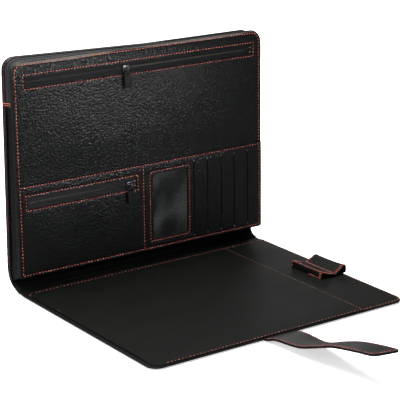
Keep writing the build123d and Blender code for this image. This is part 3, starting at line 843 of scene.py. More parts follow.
def fillet_path(points, radii):
    """A closed outline with rounded corners."""
    result = []
    count = 6
    for i, (corner, radius) in enumerate(zip(points, radii)):
        here = Vector(corner)
        back = (Vector(points[i - 1]) - here).normalized()
        ahead = (Vector(points[(i + 1) % len(points)]) - here).normalized()
        half = back.angle(ahead) / 2
        centre = here + (back + ahead).normalized() * radius / math.sin(half)
        start = here + back * radius / math.tan(half) - centre
        end = here + ahead * radius / math.tan(half) - centre
        for k in range(count + 1):
            result.append(tuple(centre + start.lerp(end, k / count).normalized() * radius))
    return result


def loop_surface(left, front, outline, skew):
    """A place() on a pen loop: (distance along its section, distance from its near end, height out of it).
    skew says how far the near end runs back at its left and right, and how far the far end leans left."""
    def place(t, y, height):
        point, (along_x, along_z) = walk(outline, t)
        spot = Vector(point) + Vector((-along_z, along_x)) * height
        share = min(max(y / LOOP_LENGTH, 0), 1)
        sag = 0.7 * math.sin(math.pi * share) * ease(spot.y / 6)
        near = skew[0] + (skew[1] - skew[0]) * spot.x / LOOP_WIDTH
        lean = skew[2] * share * spot.y / LOOP_CREST
        return world(left + spot.x - lean, front + y + near * (1 - share), SHELL + spot.y - sag)
    return place


def make_pen_loop(node, left, front, corners, skew):
    """A wedge of leather with rounded cut edges at both ends."""
    outline = closed_path(fillet_path(*corners))
    total = path_length(outline)
    place = loop_surface(left, front, outline, skew)
    ts = [total * i / 64 for i in range(64)]
    near, far = 0.0, LOOP_LENGTH
    deep = -LOOP_WALL
    half_round = ((0.6, 0), (0.1, 0.2), (0, 0.5), (0.1, 0.8), (0.6, 1.0))
    stations = [(near + inset, deep * share) for inset, share in half_round[2::-1]]
    stations += [(y, 0) for y in steps(near + 2.5, far - 2.5, 5)]
    stations += [(far - inset, deep * share) for inset, share in half_round]
    stations += [(y, deep) for y in steps(far - 2.5, near + 2.5, 5)]
    stations += [(near + inset, deep * share) for inset, share in half_round[:1:-1]]
    bm = bmesh.new()
    add_grid(bm, [[place(t, y, height) for t in ts] for y, height in stations], around=True)
    piece = finish_piece(f"{node}_leather", bm, SMOOTH)
    attach(piece, "cover")
    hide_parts(node)
    return place


def make_pen_loops():
    """Both loops, the seam that pulls them down between them, and their stitches."""
    inner = make_pen_loop("pen_loop_inner", INNER_LEFT, INNER_FRONT, INNER_LOOP, (-1.0, -3.0, 1.5))
    outer = make_pen_loop("pen_loop_outer", OUTER_LEFT, OUTER_FRONT, OUTER_LOOP, (-1.6, 4.0, 3.0))
    far = LOOP_LENGTH - 2.2
    crest = 10.6               # how far up and over the inner loop's section the row beside its crest is
    rows = [
        (inner, [(crest, 1.5), (crest, far)]),
        (inner, [(1.2, 1.5), (1.2, 24)]),
        (inner, [(2.5, 1.6), (24, 1.6)]),
        (inner, [(2.5, 3.8), (24, 3.8)]),
        (inner, [(2.0, far), (26, far)]),
        (outer, [(3.5, 2.0), (38, 2.0)]),
        (outer, [(3.5, 4.3), (30, 4.3)]),
        (outer, [(3.5, far), (34, far)]),
        (outer, [(4.6, 4.5), (4.6, far)]),
    ]
    rows = [(place, path, constant(0.05)) for place, path in rows]
    stitching("loop_stitches", rows, "cover", pitch=LOOP_PITCH)
    seam_x = (INNER_LEFT + INNER_WIDTH + OUTER_LEFT) / 2
    outline = rounded_box(seam_x - 1.6, seam_x + 1.6, INNER_FRONT, INNER_FRONT + LOOP_LENGTH - 1, (0.6,) * 4)
    valley = SHELL + 1.9
    seam = plate("pen_loop_seam", [outline], valley, valley + 1.3, shell, STRAP_LEATHER)
    attach(seam, "cover")


HINGE_PATH = [
    (-175.0, -9.0), (-171.5, -4.6), (-166.5, -1.8), (-160, -0.5), (-150, -0.1), (166, -0.1), (174.5, -0.1),
]


def cover_front_path():
    """Along the front from just left of the strap to the right corner and up the right side."""
    edge = COVER_SEAM_INSET
    hub = (HALF - COVER_CORNER, COVER_CORNER - COVER_DEPTH)
    corner = arc_points(hub, COVER_CORNER - edge, 270, 360, 10)
    start = (-HALF + 19, edge - COVER_DEPTH)
    return [start] + corner + [(HALF - edge, -3.0)]


def cover_top(x, u):
    """The height of what the cover's stitches lie on: pad pocket or bare lining."""
    on_pad = PAD_LEFT <= x <= PAD_RIGHT and PAD_FRONT <= u <= PAD_BACK
    return SHELL + (PAD_SHEET + max(pad_puff(x, u), 0) if on_pad else -0.08)


def hinge_top(x, u):
    """The height of what the hinge row lies on, which stands up beside the pad pocket's left edge."""
    return max(cover_top(x, u), SHELL + (0.5 if x < PAD_LEFT else 0.08))


def make_cover_stitches():
    """The hinge row, the row round the front and right, the pad pocket's tacks and its right edge's row."""
    tack_x, edge_x = PAD_RIGHT - 1.6, PAD_RIGHT - 1.8
    rows = [
        (shell, HINGE_PATH, hinge_top),
        (shell, cover_front_path(), cover_top),
        (shell, [(-173.6, -76), (-172.0, -72), (-172.4, -64)], constant(SHELL + PAD_SHEET + 0.35)),
        (shell, [(tack_x, PAD_FRONT + 3), (tack_x, PAD_FRONT + 13)], cover_top),
    ]
    stitching("cover_stitches", rows, "cover", THREAD_COVER, COVER_PITCH)
    sunk = lambda x, u: cover_top(x, u) - 0.15
    dark_row = [(shell, [(edge_x, PAD_FRONT + 14), (edge_x, PAD_BACK - 3)], sunk)]
    stitching("pad_pocket_stitches", dark_row, "cover", THREAD_DARK_AND_SHADED)


# ---- Organiser ----
def box_lines(box):
    """The four sides of a (left, right, low, high) box, as (x0, y0, x1, y1) lines."""
    left, right, low, high = box
    corners = ((left, low), (right, low), (right, high), (left, high))
    return tuple((*corners[i - 1], *corners[i]) for i in (1, 2, 3, 0))


FRAME_SEAMS = (
    (0, 0, 0, PANEL_HEIGHT), (PANEL_WIDTH, 0, PANEL_WIDTH, PANEL_HEIGHT), (0, 0, PANEL_WIDTH, 0),
    (0, PANEL_HEIGHT, PANEL_WIDTH, PANEL_HEIGHT), (0, MID_SEAM, PANEL_WIDTH, MID_SEAM),
)
UPPER_SEAMS = FRAME_SEAMS + box_lines(UPPER_BOX)
DIVIDER_SEAM = (DIVIDER_X, 0, DIVIDER_X, MID_SEAM)
LOWER_SEAMS = FRAME_SEAMS + box_lines(LOWER_BOX) + box_lines(WINDOW_BOX) + (DIVIDER_SEAM,)


ROLL = 3.0                # how far the upper facing rolls back over its last 21 mm
ROLL_FROM = 232.0
CREST_FROM = 244.0        # past here it also leans straight back
CREST_LEAN = 0.10


def upper_lift(x, s):
    """The upper facing's own relief: it rolls back towards the top edge and swells between its seams."""
    roll = ROLL * ease((s - ROLL_FROM) / 21) + CREST_LEAN * max(0.0, s - CREST_FROM)
    swell = 0.9 * ease((s - 112) / 40) * ease((218 - s) / 40) * ease(x / 50) * ease((PANEL_WIDTH - x) / 50)
    return swell + 0.55 * waves(x, s, 70, 2) * ease(s / 200) - roll - seam_dip(x, s, UPPER_SEAMS)


def lower_lift(x, s):
    """The lower facing's relief: the zip pocket swells and the strip under its top edge leans back."""
    lean = 0.035 * max(0.0, s - 95.5)
    swell = 0.5 * ease(s / 25) * ease((76 - s) / 25) * ease(x / 30) * ease((DIVIDER_X - x) / 30)
    return swell + 0.3 * waves(x, s, 45, 4) - lean - seam_dip(x, s, LOWER_SEAMS)


def upper_face(x, s, n):
    return panel(x, s, n + upper_lift(x, s) * ease((n + 4.0) / 2.5))


def lower_face(x, s, n):
    return panel(x, s, n + lower_lift(x, s) * ease((n + 4.0) / 3.5))


RIM_INSET = 3.0
RIM_BACK = ((0, 0.4 - PANEL_DEPTH), (0.4, -PANEL_DEPTH), (1.2, -PANEL_DEPTH))
LOWER_CORNER = 3.0
PLATE_LEFT = RIM_INSET - PANEL_SIDE_EDGE
PLATE_RIGHT = PANEL_WIDTH - PLATE_LEFT
PLATE_TOP = PANEL_HEIGHT + PANEL_EDGE - RIM_INSET
PLATE_BOTTOM = RIM_INSET - PANEL_EDGE


def turned_rim(name, face, front, corner, rows, far):
    """A facing's turned edge on three sides; front is the (distance in, height) pairs of its own bend."""
    grid = []
    for inset, n in front + RIM_BACK:
        points = u_outline(inset, constant(HALF), corner, rows, far, steps(-160, 160, 12))
        grid.append([face(x + PANEL_WIDTH / 2, s, n) for x, s in points])
    return surface(name, grid, GRAINED)


def upper_rim():
    """Up both sides and over the top."""
    front = ((RIM_INSET, 0), (1.9, 0), (0.9, -0.08), (0.3, -0.45), (0, -1.1))
    far = PANEL_HEIGHT + PANEL_EDGE
    rows = steps(LOWER_TOP - 0.4, far - PANEL_CORNER, 9)
    return turned_rim("upper_rim", upper_face, front, PANEL_CORNER, rows, far)


def lower_rim():
    """Down both sides and along the bottom."""
    front = ((RIM_INSET, LEATHER), (1.9, LEATHER), (0.9, 1.1), (0.3, 0.75), (0, 0.1))
    rows = steps(LOWER_TOP, LOWER_CORNER - PANEL_EDGE, 9)
    return turned_rim("lower_rim", lower_face, front, LOWER_CORNER, rows, -PANEL_EDGE)


def meets_side(x):
    """Whether a plate's edge is one of the two that the rim carries on from."""
    return x < PLATE_LEFT + 0.5 or x > PLATE_RIGHT - 0.5


def meets_upper_rim(x, s):
    in_corner = s > PLATE_TOP - 12 and (x < PLATE_LEFT + 12 or x > PLATE_RIGHT - 12)
    return meets_side(x) or in_corner or s > PLATE_TOP - 0.5


def meets_lower_rim(x, s):
    return meets_side(x) or s < PLATE_BOTTOM + 0.5


def upper_plate():
    """The upper facing's face, with the opening of its zip."""
    corner = PANEL_CORNER - RIM_INSET
    outline = rounded_box(PLATE_LEFT, PLATE_RIGHT, UPPER_BOTTOM, PLATE_TOP, (0, 0, corner, corner))
    hole = rounded_box(*UPPER_ZIP, (0.8,) * 4)
    cuts = (
        steps(6, 342, 12) + around_seams((0, PANEL_WIDTH)) + around_seams(UPPER_BOX[:2]),
        steps(115, 215, 10) + around_seams((*UPPER_BOX[2:], PANEL_HEIGHT)) + [241, 243.5, 245.5],
    )
    return plate("upper_plate", [outline, hole], -LEATHER, 0, upper_face, GRAINED, cuts,
                 edge=PLATE_ROUND, square=meets_upper_rim)


def lower_plate():
    """The lower facing's face, with its zip's opening, the card window and the card slits."""
    outline = rounded_box(PLATE_LEFT, PLATE_RIGHT, PLATE_BOTTOM, LOWER_TOP, (0, 0, 0, 0))
    holes = [rounded_box(*LOWER_ZIP, (0.8,) * 4), rounded_box(*WINDOW, (0.8, 6, 0.8, 6))]
    for slit in CARD_SLITS:
        holes.append(rounded_box(slit, slit + SLIT_WIDTH, SLIT_LOW, SLIT_HIGH, (0,) * 4))
    slit_sides = [slit + offset for slit in CARD_SLITS for offset in (-2.5, -1.0, 2.2, 4.0)]
    seams_x = around_seams((0, PANEL_WIDTH, DIVIDER_X, *LOWER_BOX[:2], *WINDOW_BOX[:2]))
    seams_s = around_seams((0, *LOWER_BOX[2:], MID_SEAM, *WINDOW_BOX[2:]))
    cuts = (steps(8, 340, 13) + seams_x + slit_sides, steps(12, 72, 10) + seams_s)
    return plate("lower_plate", [outline, *holes], 0, LEATHER, lower_face, GRAINED, cuts,
                 edge=PLATE_ROUND, square=meets_lower_rim)


def frame_path(low, high, corner):
    """Up the left side, over the top and down the right, between two heights."""
    top_left = arc_points((corner, high - corner), corner, 180, 90, 8)
    top_right = arc_points((PANEL_WIDTH - corner, high - corner), corner, 90, 0, 8)
    return [(0, low)] + top_left + top_right + [(PANEL_WIDTH, low)]


def make_organiser_stitches():
    on_upper = constant(0.04)
    on_lower = constant(LEATHER + 0.04)
    upper = [
        (upper_face, frame_path(LOWER_TOP + 1, PANEL_HEIGHT, 9.0), on_upper),
        (upper_face, closed_path(rounded_box(*UPPER_BOX, (0,) * 4)), on_upper),
    ]
    lower = [
        (lower_face, [(0, LOWER_TOP), (0, 0), (PANEL_WIDTH, 0), (PANEL_WIDTH, LOWER_TOP)], on_lower),
        (lower_face, [(0, MID_SEAM), (PANEL_WIDTH, MID_SEAM)], on_lower),
        (lower_face, [(DIVIDER_X, 0), (DIVIDER_X, MID_SEAM)], on_lower),
        (lower_face, closed_path(rounded_box(*LOWER_BOX, (0,) * 4)), on_lower),
        (lower_face, closed_path(rounded_box(*WINDOW_BOX, (1, 6, 1, 6))), on_lower),
    ]
    stitching("organiser_stitches", upper + lower, "compartment")


def make_slit_tacks():
    """A tack of two short stitches at both ends of each card slit, in a pale grey thread whose paleness is a
    painted glint.
    """
    bm = bmesh.new()
    top = constant(LEATHER + 0.1)
    for slit in CARD_SLITS:
        for s in (SLIT_LOW - 0.6, SLIT_HIGH + 0.6):
            for offset in (-0.3, 0.3):
                point = (slit + SLIT_WIDTH / 2, s + offset)
                add_stitch(bm, lower_face, point, (1, 0), top, length=1.5, slant=0.1)
    piece = finish_piece("card_slit_tacks", bm, THREAD_PAINTED_GLINT, weld=False)
    attach(piece, "compartment")


def make_window():
    """The clear vinyl behind the card window, rippled, sewn in with the window's stitches."""
    left, right, low, high = WINDOW
    columns = steps(left - WINDOW_MARGIN, right + WINDOW_MARGIN, 1.8)
    rows = []
    for s in steps(low - WINDOW_MARGIN, high + WINDOW_MARGIN, 1.8):
        row = []
        for x in columns:
            inside = min(x - left, right - x, s - low, high - s)
            ripple = 0.3 * waves(x + 0.5 * s, s, 19, 6) + 0.12 * waves(x, s - x, 9, 7)
            row.append(panel(x, s, max(-0.2, ripple * ease((inside + 1) / 9))))
        rows.append(row)
    piece = surface("card_window_vinyl", rows, VINYL)
    attach(piece, "compartment")
    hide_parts("id_window")


def make_organiser():
    upper = merged([upper_rim(), upper_plate()], "upper_facing_leather")
    lower = merged([lower_rim(), lower_plate()], "lower_facing_leather")
    for facing, node in ((upper, "upper_pocket_panel"), (lower, "lower_pocket_panel")):
        attach(facing, "compartment")
        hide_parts(node)
    make_organiser_stitches()
    make_slit_tacks()
    make_window()


# ---- Zips ----
COIL_PITCH = 1.3
COIL_WIRE = 0.27
COIL_TURN_POINTS = 8
COIL_HALF_WIDTH = 0.95
COIL_HALF_HEIGHT = 0.52
CLOSED_GAP = 0.8          # from the chain's middle to the middle of each coil, where it is closed


ZIP_GAPE = 0.85           # how far each side of a pocket's zip stands open right of its slider
TAPE_OVERHANG = 2.5       # how far a pocket's tapes run on behind the leather
TAPE_GAP = 0.25           # from the chain's middle to the edge of each tape, where it is closed
# From a tape's inner edge outwards: (across, height), with a corded rib at each end of the flat.
TAPE_PROFILE = ((0, -TAPE), (0, 0), (0.6, 0.18), (1.2, 0), (2.7, 0), (3.1, 0.12), (3.5, 0))


def add_coil(bm, place, start, end, side, middle_at):
    """One coil of the chain: a helix of nylon along t; place takes (t, across, height)."""
    turns = (end - start) / COIL_PITCH
    rings = []
    for i in range(round(turns * COIL_TURN_POINTS) + 1):
        t = start + i * COIL_PITCH / COIL_TURN_POINTS
        angle = 2 * math.pi * i / COIL_TURN_POINTS + (0 if side > 0 else math.pi)
        reach = (COIL_HALF_WIDTH * math.cos(angle), COIL_HALF_HEIGHT * math.sin(angle))
        centre = side * middle_at(t)
        ring = []
        for j in range(4):
            turn = math.pi / 2 * j + math.pi / 4
            out = 1 + COIL_WIRE * math.cos(turn)
            ring.append(place(t + COIL_WIRE * math.sin(turn), centre + side * reach[0] * out,
                              COIL_HEIGHT / 2 + reach[1] * out))
        rings.append(ring)
    add_ring_caps(bm, add_grid(bm, rings, around=True))


def add_tape(bm, place, start, end, side, inner_at, outer):
    """One tape with a corded edge beside the coil, its outer face at height 0."""
    ts = steps(start, end, 6)
    rows = [[place(t, side * (inner_at(t) + across), height) for t in ts] for across, height in TAPE_PROFILE]
    rows += [[place(t, side * outer, height) for t in ts] for height in (0, -TAPE)]
    rows.append(rows[0])
    add_grid(bm, rows)


def pocket_zip(name, window, face_n, slider_x):
    """A pocket's zip: closed left of its slider, a little open to the right of it."""
    left, right, low, high = window
    middle, half, length = (low + high) / 2, (high - low) / 2, right - left

    def place(t, across, height):
        return panel(left + t, middle + across, face_n + height)

    def opening(t):
        past = t + left - slider_x
        return ZIP_GAPE * ease(past / 10) * ease((length - 2 - t) / 14 + 0.25)

    coils, tapes = bmesh.new(), bmesh.new()
    for side in (-1, 1):
        add_coil(coils, place, 0.5, length - 0.5, side, lambda t: CLOSED_GAP + opening(t))
        run = (-TAPE_OVERHANG, length + TAPE_OVERHANG)
        add_tape(tapes, place, *run, side, lambda t: TAPE_GAP + opening(t), half + TAPE_OVERHANG)
    coil = attach(finish_piece(f"{name}_zip_coil_teeth", coils, NYLON, weld=False), "compartment")
    tape = attach(finish_piece(f"{name}_zip_tape_cloth", tapes, TAPE_ACROSS), "compartment")
    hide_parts(f"{name}_zip_coil")
    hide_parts(f"{name}_zip_tapes")


def hoop_path(inset):
    """Up the left side, over the top and down the right, in x and z, that far in from the case's edge."""
    rows = steps(ZIP_END_Z, TOP_Z - BACK_CORNER, 6)
    return u_outline(inset, constant(HALF), BACK_CORNER, rows, TOP_Z, steps(-156, 156, 12))


def hoop_rows(on_panel, fixed):
    """Rows of points for a band round the compartment's top, given as two lists of (inset, y) pairs.
    The first list's y is measured from the organiser's leaning back face."""
    rows = []
    for inset, y, follow in [(*pair, 1) for pair in on_panel] + [(*pair, 0) for pair in fixed]:
        row = []
        for x, z in hoop_path(inset):
            here = y + follow * panel_back_y(z)
            row.append(world(x, here, z - top_droop(x, here, z)))
        rows.append(row)
    return rows


def make_main_zip():
    """Tapes, coil and piping round the compartment's mouth."""
    flat, ridge = 1.25, 0.9
    tapes = bmesh.new()
    add_grid(tapes, hoop_rows(
        ((3.4, -0.6), (1.5, -0.5), (1.0, 0.3), (flat, 0.9)),
        ((flat, 20.6), (ridge, 21.0), (flat, 21.4), (flat, 22.6), (ridge, 23.1), (1.4, 23.6), (1.95, 23.6)),
    ))
    add_grid(tapes, hoop_rows((), (
        (1.95, 24.4), (1.4, 24.4), (ridge, 24.9), (flat, 25.4), (flat, 26.8), (ridge, 27.2), (flat, 27.6),
        (1.3, 31.0),
    )))
    tape = attach(finish_piece("main_zip_tape_cloth", tapes, TAPE_ALONG), "compartment")
    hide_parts("main_zip_tape_front", "main_zip_tape_back")
    path = hoop_path(1.2)

    def place(t, across, height):
        (x, z), (along_x, along_z) = walk(path, t)
        out = height - COIL_HEIGHT - 0.2
        x, z = x - along_z * out, z + along_x * out
        return world(x, MAIN_ZIP_Y + across, z - top_droop(x, MAIN_ZIP_Y, z))

    coils = bmesh.new()
    for side in (-1, 1):
        add_coil(coils, place, 1.0, path_length(path) - 1.0, side, constant(CLOSED_GAP))
    coil = attach(finish_piece("main_zip_coil_teeth", coils, NYLON, weld=False), "compartment")
    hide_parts("main_zip_coil")


# ---- Compartment sides ----
GUSSET_FOLD = 2.4         # how far its middle is folded in
GUSSET_LEATHER = 0.7
GUSSET_FOOT = 14.0


def gusset_front(z):
    return panel_back_y(max(z, 23.0)) - 0.3


def gusset_back(z):
    """Where the back's lining is at a height, round the bottom curve."""
    if z >= SPINE_RADIUS:
        return BACK_Y - SHELL
    radius = SPINE_RADIUS - SHELL
    return CURVE_Y + math.sqrt(max(radius ** 2 - (SPINE_RADIUS - z) ** 2, 0))


def make_side_gusset(side, node):
    """A leather gusset folded inwards along its middle, from the bottom curve up to the zip's end."""
    rows = []
    for z in [15.0, 17.5, 20, 23, 26, 30, *steps(36, ZIP_END_Z + 1, 7)]:
        front, back = gusset_front(z), gusset_back(z)
        foot = front + max(0, 22 - z) * 1.9
        row = []
        for i in range(13):
            share = i / 12
            fold = GUSSET_FOLD * (1 - abs(2 * share - 1)) ** 0.8 * ease((z - 12) / 30) * ease((232 - z) / 30)
            crumple = 0.5 * waves(share * 30, z, 18, 9 + side) * math.sin(math.pi * share)
            x = side * (HALF - 1.7 - fold - abs(crumple))
            row.append(world(x, foot + share * (back - foot), z))
        rows.append(row)
    piece = surface(f"{node}_leather", rows, EDGE_LEATHER)
    thicken(piece, GUSSET_LEATHER)
    attach(piece, "compartment")
    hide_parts(node)
    size = (path_length(rows[12]), (ZIP_END_Z - GUSSET_FOOT) * MM)


def side_face(side):
    """A place() for the lip on one side of the back: (depth from the back's outside, z, height out of it)."""
    def place(depth, u, height):
        point = back_skin(0, u, depth)
        half = spine_width(u) + height
        return Vector((side * half * MM, point.y, point.z))
    return place


def make_lip_stitches():
    """Down both sides of the lip and round the bottom curve, and along the top.
    Past its left third the top's row is pulled down into the leather."""
    lip_line = 5.4
    side_path = [(lip_line, SPLIT_U + 4), (lip_line, TOP_U - BACK_CORNER)]
    rows = [(side_face(side), side_path, constant(0.0)) for side in (-1, 1)]
    hub_x, hub_z = BACK_CORNER - HALF, TOP_Z - BACK_CORNER
    arc = math.pi / 2 * BACK_CORNER

    def corner_place(t, across, height):
        """t is along the left corner and then the top, across is y."""
        angle = min(t, arc) / BACK_CORNER
        radius = BACK_CORNER + height
        x = hub_x - radius * math.cos(angle) + max(0, t - arc)
        z = hub_z + radius * math.sin(angle)
        return world(x, across, z - top_droop(x, across, z))

    third = 2 * HALF / 3
    start, end = (0.5, BACK_Y - lip_line), (2 * HALF - 22, BACK_Y - lip_line + 1.5)
    rows.append((corner_place, [start, end], lambda t, y: -0.5 * ease((t - third) / 40)))
    # These rows use the darker thread: painted shade on them.
    stitching("lip_stitches", rows, "fold_b", THREAD_DARK_AND_SHADED)


PATCH_HEIGHT = 7.8
PATCH_ROWS = (2.8, 5.1)   # heights of its rows of stitches above its foot
PATCH_FEET = ((-1, "left", 1.2), (1, "right", -6.2))      # the right one stays clear of the slider


def make_zip_end_patches():
    """The leather patch over each end of the main zip, with two rows of stitches across."""
    stitches = bmesh.new()
    front, back = panel_back_y(ZIP_END_Z) - 0.2, BACK_Y - LIP + 1.2
    for side, name, above in PATCH_FEET:

        def place(y, z, n):
            return world(side * (HALF - 1.3 + n), y, z)

        foot = ZIP_END_Z + above
        outline = rounded_box(front, back, foot, foot + PATCH_HEIGHT, (0.8,) * 4)
        cuts = (steps(front + 2, back - 2, 3), (foot + 2.8, foot + 5.3))
        patch = plate(f"zip_end_patch_{name}", [outline], 0, 1.0, place, EDGE_LEATHER, cuts, edge=0.3)
        attach(patch, "compartment")
        for z in (foot + up for up in PATCH_ROWS):
            for point, _ in spaced([(front + 0.5, z + 1.2), (back + 5.5, z - 1.2)], 3.4):
                add_stitch(stitches, place, point, (1, 0), lambda y, z: 1.1 if y < back else 1.4)
    piece = finish_piece("zip_end_stitches", stitches, THREAD_RED, weld=False)
    attach(piece, "compartment")


# ---- Sliders and pulls ----
def pull_frames():
    """For each zip, a place() for (sideways, up, height above the tape's face), from its slider's middle."""
    upper_s = sum(UPPER_ZIP[2:]) / 2
    lower_s = sum(LOWER_ZIP[2:]) / 2
    return {
        "upper": lambda a, b, h: panel(UPPER_SLIDER_X + a, upper_s + b, h - LEATHER),
        "lower": lambda a, b, h: panel(LOWER_SLIDER_X + a, lower_s + b, h),
        "main": lambda a, b, h: world(HALF - LEATHER + h, MAIN_ZIP_Y + a, MAIN_SLIDER_Z + b),
    }


def make_pull(name, place):
    """The leather pull: a tab with rounded ends and an eye, sewn round its edge."""
    width, length, thick, margin = 8.6, 18.5, 2.0, 1.3
    top = 2.2 - LINK_DROP
    outline = rounded_box(-width / 2, width / 2, top - length, top, (2.2, 2.2, 1.6, 1.6))
    eye = arc_points((0, -LINK_DROP), 1.0, 0, 337.5, 15)

    def laid(a, b, n):
        crown = 0.35 * (1 - (2 * a / width) ** 2)
        return place(a, b, BAIL_HEIGHT - thick / 2 + n * (1 + 0.12 * crown) + 0.2 * math.sin(b / 4))

    cuts = (steps(-3, 3, 1.5), steps(top - length + 2, top - 2, 2))
    tab = plate(f"{name}_pull_leather", [outline, eye], 0, thick, laid, STRAP_LEATHER, cuts, edge=0.55)
    attach(tab, f"{name}_pull")
    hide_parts(f"{name}_pull_tab")
    bm = bmesh.new()
    half = width / 2 - margin
    path = rounded_box(-half, half, top - length + margin, -LINK_DROP - 2.6, (1.2, 1.2, 0.5, 0.5))
    for point, direction in spaced(closed_path(path), 1.9):
        add_stitch(bm, laid, point, direction, constant(thick - 0.1), length=1.3)
    stitches = finish_piece(f"{name}_pull_stitches", bm, THREAD_BLACK, weld=False)
    attach(stitches, f"{name}_pull")


def make_slider_cap(name, place, turned):
    """The slider's domed top plate, wide at the shoulder, with a notch, and narrow at the nose."""
    half = [(-4.9, 1.6), (-3.4, 2.9), (-0.5, 3.4), (3.2, 3.55), (4.8, 2.9), (4.9, 0.9)]
    mirrored = [(a, -b) for a, b in reversed(half)]
    shape = mirrored[-1:] + half + [(3.9, 0)] + mirrored[:-1]

    def laid(a, b, n):
        dome = 0.35 * max(0.0, 1 - (a / 5) ** 2 - (b / 4) ** 2)
        if turned:
            a, b = -b, a
        return place(a, b, 2.25 + n * 1.0 + dome)

    cap = plate(f"{name}_slider_cap", [shape], 0, 0.75, laid, DARK_METAL,
                (steps(-4, 4, 1), steps(-3, 3, 1)), edge=0.28)
    attach(cap, f"{name}_slider")


def make_pulls():
    for name, place in pull_frames().items():
        make_pull(name, place)
        make_slider_cap(name, place, name == "main")


# ---- Strap ----
STRAP_SPLIT = 28.0
STRAP_PLY = 1.3
STRAP_TIP_HALF = 20.0
STRAP_LEAN = 1.6          # how far the tip lies to the left of the strap's middle
STRAP_CORNER = 9.0
# Heights of the strap's underside along its left and right edges, at distances beyond the cover's front edge.
STRAP_WAVE = ((-60, 0.02, 0.02), (-10, 0.02, 0.02), (4, 1.6, 1.0), (18, 6.4, 3.0), (45, 9.4, 3.2),
              (60, 11.9, 5.8), (82, 19.3, 14.4), (110, 29.2, 24.0), (145, 36.2, 31.6), (176, 40.9, 36.4),
              (200, 44.5, 40.0))
MAGNET_D = 142.5          # the magnet's middle, beyond the cover's front edge
MAGNET_SPREAD = (12, 15)  # how far its bulge reaches across and along
MAGNET_BULGE = 1.1


def strap_height(d, share):
    """The underside's height, smoothly through STRAP_WAVE; share is 0 at the left edge and 1 at the right."""
    part = 1
    while part < len(STRAP_WAVE) - 3 and d > STRAP_WAVE[part + 1][0]:
        part += 1
    (x0, *y0), (x1, *y1), (x2, *y2), (x3, *y3) = STRAP_WAVE[part - 1:part + 3]
    y0, y1, y2, y3 = (y[0] + share * (y[1] - y[0]) for y in (y0, y1, y2, y3))
    t = min(max((d - x1) / (x2 - x1), 0), 1)
    slope_1 = (y2 - y0) / (x2 - x0) * (x2 - x1)
    slope_2 = (y3 - y1) / (x3 - x1) * (x2 - x1)
    curve = (2 * t ** 3 - 3 * t ** 2 + 1) * y1 + (3 * t ** 2 - 2 * t ** 3) * y2
    return curve + (t ** 3 - 2 * t ** 2 + t) * slope_1 + (t ** 3 - t ** 2) * slope_2


def strap_half(d):
    share = min(max(d / STRAP_REACH, 0), 1)
    return STRAP_HALF + share * (STRAP_TIP_HALF - STRAP_HALF)


def strap(x, d, n):
    """x from the strap's middle, d beyond the cover's front edge, n up through it."""
    share = (x / STRAP_HALF + 1) / 2
    slope = (strap_height(d + 1, share) - strap_height(d - 1, share)) / 2
    size = math.hypot(1, slope)
    across, along = x / MAGNET_SPREAD[0], (d - MAGNET_D) / MAGNET_SPREAD[1]
    bulge = MAGNET_BULGE * math.exp(-((across ** 2 + along ** 2) ** 2))
    n += bulge * (n / STRAP_PLY - 0.7)
    y = -COVER_DEPTH - d + n * slope / size
    lean = STRAP_LEAN * ease(d / STRAP_REACH)
    return world(STRAP_X + x - lean, y, strap_height(d, share) + n / size)


def strap_outline(start, end, corner):
    """From start to end beyond the cover; the tip's corners are rounded."""
    near, far = strap_half(start), strap_half(end)
    if not corner:
        return [(-near, start), (near, start), (far, end), (-far, end)]
    right = arc_points((far - corner, end - corner), corner, 0, 90, 8)
    left = arc_points((corner - far, end - corner), corner, 90, 180, 8)
    return [(-near, start), (near, start)] + right + left


def make_strap():
    """Both plies of the sewn end and of the tip; the lower ply of the sewn end runs under the cover."""
    at_split = lambda x, d: abs(d - STRAP_SPLIT) < 0.3
    edge_cut = STRAP_TIP_HALF - 3.4
    across = steps(-18, 18, 6) + [edge_cut, -edge_cut]
    pieces = (
        ("strap_a", (-ANCHOR_LENGTH + 0.2, 0.8), STRAP_SPLIT, 0, "root"),
        ("strap_b", (STRAP_SPLIT, STRAP_SPLIT), STRAP_REACH, STRAP_CORNER, "tip"),
    )
    for carrier, starts, end, corner, name in pieces:
        plies = []
        for i, start in enumerate(starts):
            low, high = i * (STRAP_PLY + 0.02), (i + 1) * STRAP_PLY - 0.08
            outline = strap_outline(start, end, corner)
            cuts = (across, steps(start + 1.5, end - 1.5, 2.5))
            args = (low, high, strap, STRAP_LEATHER, cuts, 0.42, at_split)
            plies.append(plate(f"ply_{i}", [outline], *args))
        attach(merged(plies, f"strap_{name}_leather"), carrier)
    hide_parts("strap_anchor", "strap_root_outer", "strap_root_inner")
    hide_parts("strap_tip_outer", "strap_tip_inner")
    make_strap_stitches()


def make_strap_stitches():
    """A row along each edge of the strap and across its tip, on both faces."""
    margin = 2.6
    far = strap_half(STRAP_REACH) - margin
    end = STRAP_REACH - margin
    corner = STRAP_CORNER - margin
    down = lambda x, d, height: strap(x, d, -height)
    faces = ((strap, constant(2 * STRAP_PLY - 0.05)), (down, constant(0.02)))
    runs = (("strap_a", "root", 3.0, STRAP_SPLIT), ("strap_b", "tip", STRAP_SPLIT, end - corner))
    for carrier, name, start, stop in runs:
        rows = []
        for place, height in faces:
            for side in (-1, 1):
                line = [(side * (strap_half(d) - margin), d) for d in steps(start, stop, 10)]
                if name == "tip":
                    hub = (side * (far - corner), end - corner)
                    line += arc_points(hub, corner, 0 if side > 0 else 180, 90, 6)
                    line += [(0, end)]
                rows.append((place, line, height))
        stitching(f"strap_{name}_stitches", rows, carrier)


